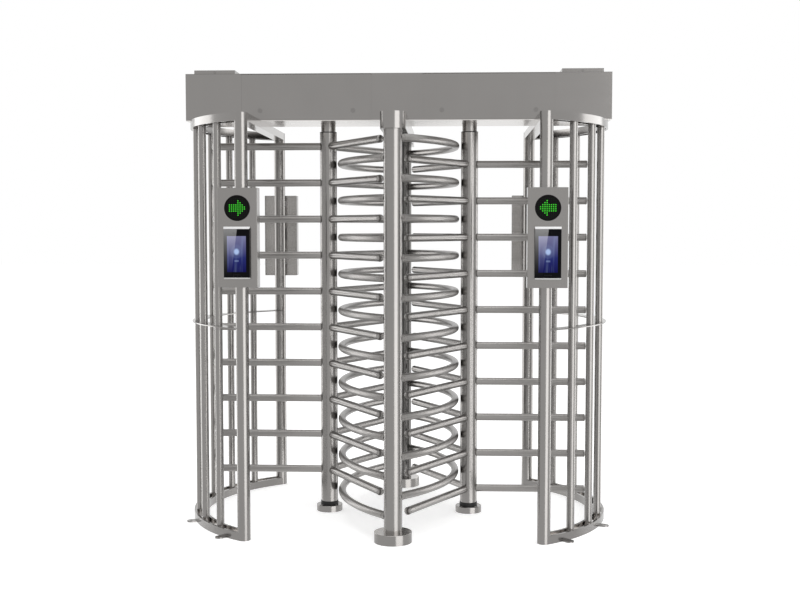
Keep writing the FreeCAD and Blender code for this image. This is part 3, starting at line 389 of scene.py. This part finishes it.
# Painted reflection: the canopy floor plate gets a much lighter copy of the steel for the pale floor it
# mirrors
steel_underside_painted_reflection = satin("floor_plate", shade(2.7), SHEET_GRAIN, (0.20, 0.26))
steel_backing = satin("back_plate", shade(1.7), SHEET_GRAIN, (0.20, 0.26))
steel_hatch = satin("hatch", shade(0.98), SHEET_GRAIN, (0.18, 0.22))
steel_small = satin("small_part", shade(0.85), SMALL_GRAIN, (0.16, 0.22))
steel_plate = metal("zinc_plate_steel", (0.36, 0.36, 0.37), (120.0, 120.0, 120.0), (0.26, 0.40), 0.06, 0.10)
steel_machined = metal("machined_steel", (0.42, 0.42, 0.43), (60.0, 60.0, 900.0), (0.18, 0.30), 0.05)
steel_plated = metal("bright_plated_steel", (0.34, 0.33, 0.32), SMALL_GRAIN, (0.10, 0.18), 0.02)
weld_steel = metal("weld_steel", (0.24, 0.23, 0.22), (420.0, 420.0, 420.0), (0.20, 0.34), 0.25, 0.10)
cast_paint = plastic("painted_casting", (0.035, 0.045, 0.055), (0.050, 0.062, 0.075), 0.42, 350.0, 0.5)
cast_aluminium = metal("cast_aluminium", (0.50, 0.50, 0.51), (240.0, 240.0, 240.0), (0.32, 0.46), 0.20)
bronze = metal("bronze", (0.50, 0.30, 0.13), (90.0, 90.0, 500.0), (0.20, 0.32), 0.05)
rubber = plastic("black_rubber", (0.006, 0.006, 0.006), (0.012, 0.012, 0.012), 0.62, 600.0, 0.35)
coil_case = plastic("black_coil_case", (0.012, 0.012, 0.013), (0.020, 0.020, 0.021), 0.45)
grey_case = plastic("grey_case", (0.30, 0.31, 0.32), (0.36, 0.37, 0.38), 0.48)
display_black = plastic("display_black", DEEP_BLACK, SOFT_BLACK, 0.26, 500.0, 0.05, 0.06)
terminal_black = plastic("terminal_black", DEEP_BLACK, SOFT_BLACK, 0.35, 700.0, 0.10, 0.06)
terminal_glass = glass_material("terminal_glass")
terminal_white = plastic("terminal_white_trim", (0.80, 0.80, 0.80), (0.88, 0.88, 0.88), 0.38, 700.0, 0.05)
terminal_pale = plastic("terminal_pale_trim", (0.52, 0.52, 0.51), (0.58, 0.58, 0.57), 0.38, 700.0, 0.05)
gap_black = plastic("seam_black", (0.010, 0.010, 0.010), (0.018, 0.018, 0.018), 0.60)
led_green = led_material("led_green_lit", (0.035, 0.60, 0.015), 1.0)
led_dark = plastic("led_unlit", (0.003, 0.008, 0.003), (0.005, 0.012, 0.005), 0.30, 500.0, 0.05, 0.06)
screen_blue = screen_material("screen_blue")

NODE_MATERIALS = {
    "outer_posts": steel_upright, "centre_posts": steel_post, "post_flanges": steel_plate,
    "post_base_covers": steel_cover, "left_cage_bars": steel_bar, "right_cage_bars": steel_bar,
    "left_cage_bands": steel_band, "right_cage_bands": steel_band, "middle_rings": steel_round,
    "floor_tabs": steel_round, "outer_top_beams": steel_beam_painted_light, "centre_top_beam": steel_centre_beam,
    "left_comb_bars": steel_comb, "right_comb_bars": steel_comb, "floor_pivots": steel_round,
    "seal_rings": rubber, "left_rotor_column": steel_upright, "right_rotor_column": steel_upright,
    "left_rotor_arms": steel_arm, "right_rotor_arms": steel_arm,
    "left_arm_plugs": steel_arm, "right_arm_plugs": steel_arm,
    "left_rotor_shaft": steel_upright, "right_rotor_shaft": steel_upright,
    "left_rotor_bush": bronze, "right_rotor_bush": bronze,
    "canopy_floor_plate": steel_underside_painted_reflection, "canopy_roof_sheet": steel_roof, "canopy_rear_panel": steel_flat,
    "canopy_end_panels": steel_flat, "canopy_front_panels": steel_flat, "canopy_bolts": steel_plated,
    "left_service_door": steel_flat, "right_service_door": steel_flat, "door_hinge_pins": steel_machined,
    "left_door_inner_lock": steel_small, "left_door_outer_lock": steel_small,
    "right_door_inner_lock": steel_small, "right_door_outer_lock": steel_small,
    "roof_hatches": steel_hatch, "hatch_screws": steel_small, "head_plates": steel_plate,
    "top_bearings": cast_paint, "left_index_wheel": steel_machined, "right_index_wheel": steel_machined,
    "damper_units": cast_aluminium, "left_damper_pinion": steel_machined,
    "right_damper_pinion": steel_machined, "lock_solenoids": coil_case,
    "left_entry_lock_bolt": steel_machined, "left_exit_lock_bolt": steel_machined,
    "right_entry_lock_bolt": steel_machined, "right_exit_lock_bolt": steel_machined,
    "controller_box": grey_case, "power_supply": cast_aluminium, "reader_boxes": steel_flat,
    "reader_back_plates": steel_backing, "reader_saddles": steel_plate, "direction_displays": display_black,
    "face_terminals": terminal_black,
}


def dress(obj, mat):
    if obj.material_slots:
        for holder in obj.material_slots:
            holder.link = "OBJECT"
            holder.material = mat
    else:
        obj.data.materials.append(mat)


for node_name, node_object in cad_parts.items():
    dress(node_object, NODE_MATERIALS[node_name])


# Mesh helpers

def mesh_object(name, build, mat, smooth_angle=None):
    mesh = bpy.data.meshes.new(name)
    bm = bmesh.new()
    build(bm)
    bmesh.ops.recalc_face_normals(bm, faces=bm.faces)
    bm.to_mesh(mesh)
    bm.free()
    obj = bpy.data.objects.new(name, mesh)
    bpy.context.scene.collection.objects.link(obj)
    mesh.materials.append(mat)
    if smooth_angle is not None:
        for face in mesh.polygons:
            face.use_smooth = True
        mesh.set_sharp_from_angle(angle=math.radians(smooth_angle))
    return obj


def finish_piece(obj, body):
    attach(obj, body)
    return obj


def add_ring(bm, profile, matrix, segments=64, closed=True):
    """Turns a profile of (radius, height) points about the local Z axis."""
    rings = []
    for radius, height in profile:
        ring = []
        for number in range(segments):
            angle = 2 * math.pi * number / segments
            place = Vector((radius * math.cos(angle), radius * math.sin(angle), height))
            ring.append(bm.verts.new(matrix @ place))
        rings.append(ring)
    pairs = list(zip(rings, rings[1:]))
    if closed:
        pairs.append((rings[-1], rings[0]))
    for low, high in pairs:
        for number in range(segments):
            after = (number + 1) % segments
            bm.faces.new((low[number], low[after], high[after], high[number]))
    return rings


def add_dome(bm, matrix, radius, height, segments=12, rows=3):
    rings = []
    for row in range(rows):
        angle = math.pi / 2 * row / rows
        ring = []
        for number in range(segments):
            turn = 2 * math.pi * number / segments
            reach = radius * math.cos(angle)
            place = Vector((reach * math.cos(turn), reach * math.sin(turn), height * math.sin(angle)))
            ring.append(bm.verts.new(matrix @ place))
        rings.append(ring)
    top = bm.verts.new(matrix @ Vector((0, 0, height)))
    for low, high in zip(rings, rings[1:]):
        for number in range(segments):
            after = (number + 1) % segments
            bm.faces.new((low[number], low[after], high[after], high[number]))
    for number in range(segments):
        bm.faces.new((rings[-1][number], rings[-1][(number + 1) % segments], top))


def add_rounded_plate(bm, matrix, width, height, depth, corner, bevel, segments=6):
    """Plate with rounded corners in local X and Z, from local Y 0 forward to -depth, front edge bevelled."""
    outline = []
    for sign_x, sign_z, start in ((1, 1, 0), (-1, 1, 90), (-1, -1, 180), (1, -1, 270)):
        for step in range(segments + 1):
            angle = math.radians(start + 90.0 * step / segments)
            outline.append((sign_x * (width / 2 - corner), sign_z * (height / 2 - corner), angle))
    layers = []
    for inset, y in ((0.0, 0.0), (0.0, -depth + bevel), (bevel * 0.3, -depth + bevel * 0.3), (bevel, -depth)):
        ring = []
        for x, z, angle in outline:
            radius = corner - inset
            place = Vector((x + radius * math.cos(angle), y, z + radius * math.sin(angle)))
            ring.append(bm.verts.new(matrix @ place))
        layers.append(ring)
    count = len(outline)
    for low, high in zip(layers, layers[1:]):
        for number in range(count):
            after = (number + 1) % count
            bm.faces.new((low[number], low[after], high[after], high[number]))
    bm.faces.new(layers[0])
    bm.faces.new(list(reversed(layers[-1])))


def facing(x, y, z, towards_front):
    """Local -Y looks out of the face that points to the front, or to the rear."""
    turn = Matrix.Identity(4) if towards_front else Matrix.Rotation(math.pi, 4, "Z")
    return Matrix.Translation((x, y, z)) @ turn


# Reader faces: direction display and face terminal

TOP_TRIM = 0.0110
LOW_TRIM = 0.0060
TRIM_RELIEF = 0.0003
HOUSING_RELIEF = 0.0035
GLASS_RELIEF = 0.0036
GLASS_THICKNESS = 0.0026
GLASS_EDGE_GAP = 0.0006
LAMP_FIELD_RADIUS = 0.052
# Name, side, front or rear, and whether the arrow points along or against the reader's own X
READERS = (("front_left", -1, -1, 1), ("front_right", 1, -1, -1),
           ("rear_left", -1, 1, -1), ("rear_right", 1, 1, 1))
LAMP_PITCH_ACROSS = 0.0100
LAMP_PITCH_UP = 0.0095
ARROW_COLUMNS = 8


def arrow_half_rows(column):
    """Lamps above the middle in one column of an arrow that points right: a straight tail, then the head."""
    return 2 if column < ARROW_COLUMNS / 2 else ARROW_COLUMNS - column


def arrow_cells(points_right):
    cells = set()
    for column in range(ARROW_COLUMNS):
        place = column if points_right else ARROW_COLUMNS - 1 - column
        half = arrow_half_rows(column)
        for row in range(-half, half):
            cells.add((place, row))
    return cells


def lamp_grid(lit, cells):
    places = []
    for column in range(-2, ARROW_COLUMNS + 2):
        for row in range(-6, 6):
            x = (column - (ARROW_COLUMNS - 1) / 2) * LAMP_PITCH_ACROSS
            z = (row + 0.5) * LAMP_PITCH_UP
            if math.hypot(x, z) > LAMP_FIELD_RADIUS:
                continue
            if ((column, row) in cells) == lit:
                places.append((x, z))
    return places


for reader, side_x, side_y, arrow in READERS:
    matrix = facing(side_x * POST_X, side_y * DISPLAY_FACE_Y, DISPLAY_Z, side_y < 0)
    cells = arrow_cells(arrow > 0)
    outward = Matrix.Rotation(math.radians(90), 4, "X")

    def lit_lamps(bm):
        for x, z in lamp_grid(True, cells):
            add_dome(bm, matrix @ Matrix.Translation((x, 0, z)) @ outward, 0.0031, 0.0016, 16, 3)

    def dark_lamps(bm):
        for x, z in lamp_grid(False, cells):
            add_dome(bm, matrix @ Matrix.Translation((x, 0, z)) @ outward, 0.0026, 0.0009, 10, 2)

    def bezel(bm):
        profile = ((DISPLAY_RADIUS - 0.0050, 0.0), (DISPLAY_RADIUS - 0.0046, 0.0014),
                   (DISPLAY_RADIUS - 0.0036, 0.0021), (DISPLAY_RADIUS - 0.0018, 0.0021),
                   (DISPLAY_RADIUS - 0.0006, 0.0013), (DISPLAY_RADIUS, 0.0), (DISPLAY_RADIUS, -0.0030))
        add_ring(bm, profile, matrix @ outward, 96)

    finish_piece(mesh_object(reader + "_arrow_lamps", lit_lamps, led_green, 60), "frame")
    finish_piece(mesh_object(reader + "_unlit_lamps", dark_lamps, led_dark, 60), "frame")
    finish_piece(mesh_object(reader + "_display_bezel", bezel, display_black, 40), "frame")

    middle_z = TERMINAL_LOW_Z + TERMINAL_HEIGHT / 2
    base = facing(side_x * POST_X, side_y * READER_FACE_Y, middle_z, side_y < 0)
    depth = TERMINAL_FRONT_Y - READER_FACE_Y

    def housing(bm):
        add_rounded_plate(bm, base, TERMINAL_WIDTH, TERMINAL_HEIGHT - 0.002, depth - HOUSING_RELIEF,
                          0.004, 0.0012)

    def top_trim(bm):
        top = base @ Matrix.Translation((0, 0, (TERMINAL_HEIGHT - TOP_TRIM) / 2))
        add_rounded_plate(bm, top, TERMINAL_WIDTH, TOP_TRIM, depth - TRIM_RELIEF, 0.0022, 0.0010)

    def low_trim(bm):
        low = base @ Matrix.Translation((0, 0, (LOW_TRIM - TERMINAL_HEIGHT) / 2))
        add_rounded_plate(bm, low, TERMINAL_WIDTH, LOW_TRIM, depth - TRIM_RELIEF, 0.0018, 0.0010)

    def glass(bm):
        front = Matrix.Translation((0, -(depth - GLASS_RELIEF), (LOW_TRIM - TOP_TRIM) / 2))
        width = TERMINAL_WIDTH - GLASS_EDGE_GAP
        height = TERMINAL_HEIGHT - TOP_TRIM - LOW_TRIM - GLASS_EDGE_GAP
        add_rounded_plate(bm, front, width, height, GLASS_THICKNESS, 0.0016, 0.0006)

    def lenses(bm):
        for x in (-0.013, 0.013):
            place = Matrix.Translation((x, -(depth - 0.0011), 0.0935)) @ outward
            profile = ((0.0042, -0.0004), (0.0042, 0.0005), (0.0034, 0.0007),
                       (0.0030, 0.0003), (0.0030, -0.0004))
            add_ring(bm, profile, place, 32)
            add_dome(bm, place, 0.0030, 0.0004, 24, 3)

    def speaker_slots(bm):
        for number in range(7):
            place = base @ Matrix.Translation(((number - 3) * 0.0050, -(depth - 0.0012), -0.103))
            add_rounded_plate(bm, place, 0.0028, 0.0012, 0.0004, 0.00055, 0.0001, 3)

    shell = finish_piece(mesh_object(reader + "_terminal_housing", housing, terminal_black, 35),
                         "frame")
    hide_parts("face_terminals")
    finish_piece(mesh_object(reader + "_terminal_top_trim", top_trim, terminal_white, 35),
                 "frame")
    finish_piece(mesh_object(reader + "_terminal_low_trim", low_trim, terminal_pale, 35),
                 "frame")
    cover = mesh_object(reader + "_terminal_glass", glass, terminal_glass, 35)
    cover.matrix_world = base
    finish_piece(cover, "frame")
    # The lenses share the glass material, and with it the painted reflection band
    lens_pair = mesh_object(reader + "_camera_lenses", lenses, terminal_glass, 40)
    lens_pair.matrix_world = base
    finish_piece(lens_pair, "frame")
    finish_piece(mesh_object(reader + "_speaker_slots", speaker_slots, gap_black, 40),
                 "frame")

    def screen(bm):
        half_w, half_h = SCREEN_HALF_WIDTH, SCREEN_HALF_HEIGHT
        corners = [bm.verts.new((x, -0.0002, z)) for x, z in
                   ((-half_w, -half_h), (half_w, -half_h), (half_w, half_h), (-half_w, half_h))]
        back = [bm.verts.new((v.co.x, 0.0006, v.co.z)) for v in corners]
        bm.faces.new(corners)
        bm.faces.new(list(reversed(back)))
        for number in range(4):
            after = (number + 1) % 4
            bm.faces.new((corners[number], back[number], back[after], corners[after]))

    panel = mesh_object(reader + "_screen", screen, screen_blue)
    panel.matrix_world = base @ Matrix.Translation((0, -(depth - 0.0010), SCREEN_SHIFT))
    finish_piece(panel, "frame")


# Weld beads where tubes meet

def tube_to_post_loop(start, direction, post_x, post_y, post_radius, tube_radius, count=40):
    """Loop where a straight level tube meets an upright post. start is on the post axis."""
    side = Vector((0, 0, 1)).cross(direction).normalized()
    loop = []
    for number in range(count):
        angle = 2 * math.pi * number / count
        across = tube_radius * math.cos(angle)
        height = tube_radius * math.sin(angle)
        reach = math.sqrt(post_radius ** 2 - across ** 2)
        loop.append(Vector((post_x, post_y, start)) + direction * (reach + WELD_STAND_OFF) + side * across
                    + Vector((0, 0, height)))
    return loop


def add_saddle_bead(bm, loop, centre, radius):
    """Small fillet bead along a loop, pushed a little outwards from the tube centre line."""
    count = len(loop)
    rings = []
    for number in range(count):
        place = loop[number]
        forward = (loop[(number + 1) % count] - loop[number - 1]).normalized()
        out = place - centre
        out = (out - forward * out.dot(forward)).normalized()
        other = forward.cross(out).normalized()
        ring = []
        for step in range(6):
            angle = 2 * math.pi * step / 6
            ring.append(bm.verts.new(place + (out * math.cos(angle) + other * math.sin(angle)) * radius))
        rings.append(ring)
    for number in range(count):
        low, high = rings[number], rings[(number + 1) % count]
        for step in range(6):
            after = (step + 1) % 6
            bm.faces.new((low[step], low[after], high[after], high[step]))


def arm_directions(side):
    start = 0.0 if side > 0 else 180.0
    return [math.radians(start + 120.0 * number) for number in range(3)]


for side_name, side, lowest in (("left", -1, LEFT_LOWEST_ARM), ("right", 1, RIGHT_LOWEST_ARM)):
    axis_x = side * ROTOR_X

    def arm_welds(bm):
        for level in range(ARM_LEVELS):
            z = lowest + level * ARM_PITCH
            for angle in arm_directions(side):
                direction = Vector((math.cos(angle), math.sin(angle), 0))
                loop = tube_to_post_loop(z, direction, axis_x, 0.0, COLUMN_RADIUS, TUBE_RADIUS)
                centre = Vector((axis_x, 0, z)) + direction * COLUMN_RADIUS
                add_saddle_bead(bm, loop, centre, WELD_BEAD_RADIUS)

    def tip_seams(bm):
        for level in range(ARM_LEVELS):
            z = lowest + level * ARM_PITCH
            for angle in arm_directions(side):
                direction = Vector((math.cos(angle), math.sin(angle), 0))
                place = Vector((axis_x, 0, z)) + direction * (ARM_REACH - TIP_SEAM_INSET)
                matrix = Matrix.Translation(place) @ direction.to_track_quat("Z", "Y").to_matrix().to_4x4()
                profile = ((TUBE_RADIUS - 0.0004, -0.0009), (TUBE_RADIUS + 0.0003, -0.0007),
                           (TUBE_RADIUS + 0.0003, 0.0007), (TUBE_RADIUS - 0.0004, 0.0009))
                add_ring(bm, profile, matrix, 40)

    def column_top_seam(bm):
        inner, outer = COLUMN_RADIUS - 0.0030, COLUMN_RADIUS + 0.0002
        profile = ((inner, -0.0045), (outer, -0.0045), (outer, 0.0), (COLUMN_RADIUS - 0.0010, 0.0004),
                   (inner, 0.0004))
        add_ring(bm, profile, Matrix.Translation((axis_x, 0, COLUMN_HIGH[2])), 96)

    finish_piece(mesh_object(side_name + "_column_top_seam", column_top_seam, gap_black, 50),
                 side_name + "_rotor")
    finish_piece(mesh_object(side_name + "_arm_welds", arm_welds, weld_steel, 80),
                 side_name + "_rotor")
    finish_piece(mesh_object(side_name + "_tip_seams", tip_seams, gap_black, 50),
                 side_name + "_rotor")

for side_name, side, lowest in (("right", 1, LEFT_LOWEST_ARM), ("left", -1, RIGHT_LOWEST_ARM)):
    bend_x = COMB_TIP_X - COMB_BEND_RADIUS

    def comb_welds(bm):
        for level in range(ARM_LEVELS):
            z = lowest + level * ARM_PITCH
            for end in (-1, 1):
                loop = []
                for number in range(40):
                    turn = 2 * math.pi * number / 40
                    radius = COMB_BEND_RADIUS + TUBE_RADIUS * math.cos(turn)
                    low, high = 0.0, math.asin(min(1.0, CENTRE_POST_Y / radius))
                    for _ in range(40):
                        mid = (low + high) / 2
                        px = bend_x + radius * math.cos(mid)
                        py = radius * math.sin(mid)
                        if math.hypot(px, py - CENTRE_POST_Y) > CENTRE_POST_RADIUS + WELD_STAND_OFF:
                            low = mid
                        else:
                            high = mid
                    loop.append(Vector((side * (bend_x + radius * math.cos(low)),
                                        end * radius * math.sin(low),
                                        z + TUBE_RADIUS * math.sin(turn))))
                centre = sum(loop, Vector()) / len(loop)
                add_saddle_bead(bm, loop, centre, WELD_BEAD_RADIUS)

    finish_piece(mesh_object(side_name + "_comb_welds", comb_welds, weld_steel, 80), "frame")


# Linings behind the narrow gaps round the service doors, in metres

JAMB_WIDTH = 0.0029
LINING_JOINT_GAP = 0.0006
SILL_END_GAP = 0.0020
LINING_FRONT_Y = -0.1780
LINING_BACK_Y = -0.1770
SILL_FRONT_Y = -0.1795
SILL_BACK_Y = -0.1785
SILL_LOW_Z = 2.0630
SILL_HIGH_Z = 2.0645
LIP_BACK_Y = -0.1774
LIP_LOW_Z = 2.2910
LIP_HIGH_Z = 2.29555
OPENING_INNER_X = 0.1300
OPENING_OUTER_X = 0.8020


def add_block(bm, low, high):
    corners = [bm.verts.new((x, y, z)) for z in (low[2], high[2]) for x, y in
               ((low[0], low[1]), (high[0], low[1]), (high[0], high[1]), (low[0], high[1]))]
    bm.faces.new(corners[0:4])
    bm.faces.new(corners[4:8])
    for number in range(4):
        after = (number + 1) % 4
        bm.faces.new((corners[number], corners[after], corners[4 + after], corners[4 + number]))


def add_mirrored_block(bm, side, near_x, far_x, front_y, back_y, low_z, high_z):
    xs = sorted((side * near_x, side * far_x))
    add_block(bm, (xs[0], front_y, low_z), (xs[1], back_y, high_z))


for side_name, side in (("left", -1), ("right", 1)):
    def jambs_and_sill(bm):
        add_mirrored_block(bm, side, OPENING_INNER_X, OPENING_INNER_X + JAMB_WIDTH,
                           LINING_FRONT_Y, LINING_BACK_Y, SILL_HIGH_Z + LINING_JOINT_GAP, LIP_LOW_Z)
        add_mirrored_block(bm, side, OPENING_OUTER_X - JAMB_WIDTH, OPENING_OUTER_X,
                           LINING_FRONT_Y, LINING_BACK_Y, SILL_HIGH_Z + LINING_JOINT_GAP, LIP_LOW_Z)
        add_mirrored_block(bm, side, OPENING_INNER_X + SILL_END_GAP, OPENING_OUTER_X - SILL_END_GAP,
                           SILL_FRONT_Y, SILL_BACK_Y, SILL_LOW_Z, SILL_HIGH_Z)

    def top_lip(bm):
        add_mirrored_block(bm, side, abs(DOOR_LOW[0]), abs(DOOR_HIGH[0]),
                           LINING_FRONT_Y, LIP_BACK_Y, LIP_LOW_Z, LIP_HIGH_Z)

    finish_piece(mesh_object(side_name + "_door_jambs_and_sill", jambs_and_sill, steel_flat),
                 "frame")
    finish_piece(mesh_object(side_name + "_door_top_lip", top_lip, steel_flat),
                 side_name + "_door")


# Camera at the viewing place of the photograph

SENSOR_WIDTH = 36.0
FOCAL_LENGTH_IN_PIXELS = 1162.655
PICTURE_WIDTH_IN_PIXELS = 800.0

camera_data = bpy.data.cameras.new("camera")
camera_data.sensor_width = SENSOR_WIDTH
camera_data.lens = FOCAL_LENGTH_IN_PIXELS / PICTURE_WIDTH_IN_PIXELS * SENSOR_WIDTH
camera_data.clip_end = 200.0
camera = bpy.data.objects.new("camera", camera_data)
camera.location = (0.2786, -6.1528, 1.5135)
camera.rotation_euler = (math.radians(90.0 - 3.562), 0.0, math.radians(2.535))
bpy.context.scene.collection.objects.link(camera)
bpy.context.scene.camera = camera


# Floor, world and lamps

WORLD_LIGHT = 0.62
FLOOR_LIFT = 0.50
FLOOR_DROP = 0.0005


def white_background_factor(nodes, links):
    """1 where the world is seen directly, in a reflection or through glass, and 0 for its light."""
    paths = nodes.new("ShaderNodeLightPath")
    first = nodes.new("ShaderNodeMath")
    first.operation = "MAXIMUM"
    links.new(paths.outputs["Is Camera Ray"], first.inputs[0])
    links.new(paths.outputs["Is Glossy Ray"], first.inputs[1])
    second = nodes.new("ShaderNodeMath")
    second.operation = "MAXIMUM"
    links.new(first.outputs[0], second.inputs[0])
    links.new(paths.outputs["Is Transmission Ray"], second.inputs[1])
    return second.outputs[0]


def make_world():
    world = bpy.data.worlds.new("studio")
    bpy.context.scene.world = world
    world.use_nodes = True
    nodes, links = world.node_tree.nodes, world.node_tree.links
    nodes.clear()
    out = nodes.new("ShaderNodeOutputWorld")
    lit = nodes.new("ShaderNodeBackground")
    lit.inputs["Color"].default_value = (1.0, 1.0, 1.0, 1.0)
    lit.inputs["Strength"].default_value = WORLD_LIGHT
    seen = nodes.new("ShaderNodeBackground")
    seen.inputs["Color"].default_value = (1.0, 1.0, 1.0, 1.0)
    seen.inputs["Strength"].default_value = 1.0
    mix = nodes.new("ShaderNodeMixShader")
    links.new(white_background_factor(nodes, links), mix.inputs["Fac"])
    links.new(lit.outputs["Background"], mix.inputs[1])
    links.new(seen.outputs["Background"], mix.inputs[2])
    links.new(mix.outputs["Shader"], out.inputs["Surface"])


def make_floor():
    def sheet(bm):
        bmesh.ops.create_grid(bm, x_segments=2, y_segments=2, size=40.0)

    mat, nodes, links, out = new_material("pale_floor")
    bsdf = principled(nodes, links, out, 0.0, 0.9, 0.0)
    noise = object_noise(nodes, links, (3.0, 3.0, 3.0), 2.0)
    links.new(two_colours(nodes, links, noise.outputs["Fac"], (0.90, 0.90, 0.90), (0.92, 0.92, 0.92)),
              bsdf.inputs["Base Color"])
    glow = nodes.new("ShaderNodeEmission")
    glow.inputs["Color"].default_value = (1.0, 1.0, 1.0, 1.0)
    paths = nodes.new("ShaderNodeLightPath")
    strength = nodes.new("ShaderNodeMath")
    strength.operation = "MULTIPLY"
    links.new(paths.outputs["Is Camera Ray"], strength.inputs[0])
    strength.inputs[1].default_value = FLOOR_LIFT
    links.new(strength.outputs[0], glow.inputs["Strength"])
    add = nodes.new("ShaderNodeAddShader")
    links.new(bsdf.outputs["BSDF"], add.inputs[0])
    links.new(glow.outputs["Emission"], add.inputs[1])
    links.new(add.outputs["Shader"], out.inputs["Surface"])
    floor = mesh_object("floor", sheet, mat)
    floor.location = (0, 0, -FLOOR_DROP)
    floor.visible_glossy = False
    return floor


def area_lamp(name, place, aim, width, height, power):
    data = bpy.data.lights.new(name, "AREA")
    data.shape = "RECTANGLE"
    data.size = width
    data.size_y = height
    data.energy = power
    lamp = bpy.data.objects.new(name, data)
    lamp.location = place
    direction = Vector(aim) - Vector(place)
    lamp.rotation_euler = direction.to_track_quat("-Z", "Y").to_euler()
    lamp.visible_camera = False
    bpy.context.scene.collection.objects.link(lamp)
    return lamp


make_world()
make_floor()
area_lamp("right_front_softbox", (5.2, -6.4, 1.2), (0.0, -0.3, 1.2), 6.2, 7.5, 336.0)
area_lamp("right_rear_softbox", (6.6, 3.4, 1.5), (0.0, 0.0, 1.3), 4.0, 6.0, 150.0)
area_lamp("left_rear_softbox", (-6.6, 3.4, 1.5), (0.0, 0.0, 1.3), 4.0, 6.0, 150.0)
area_lamp("top_softbox", (0.0, -0.5, 6.0), (0.0, 0.0, 1.0), 5.0, 5.0, 120.0)

bpy.context.scene.view_settings.view_transform = "Standard"
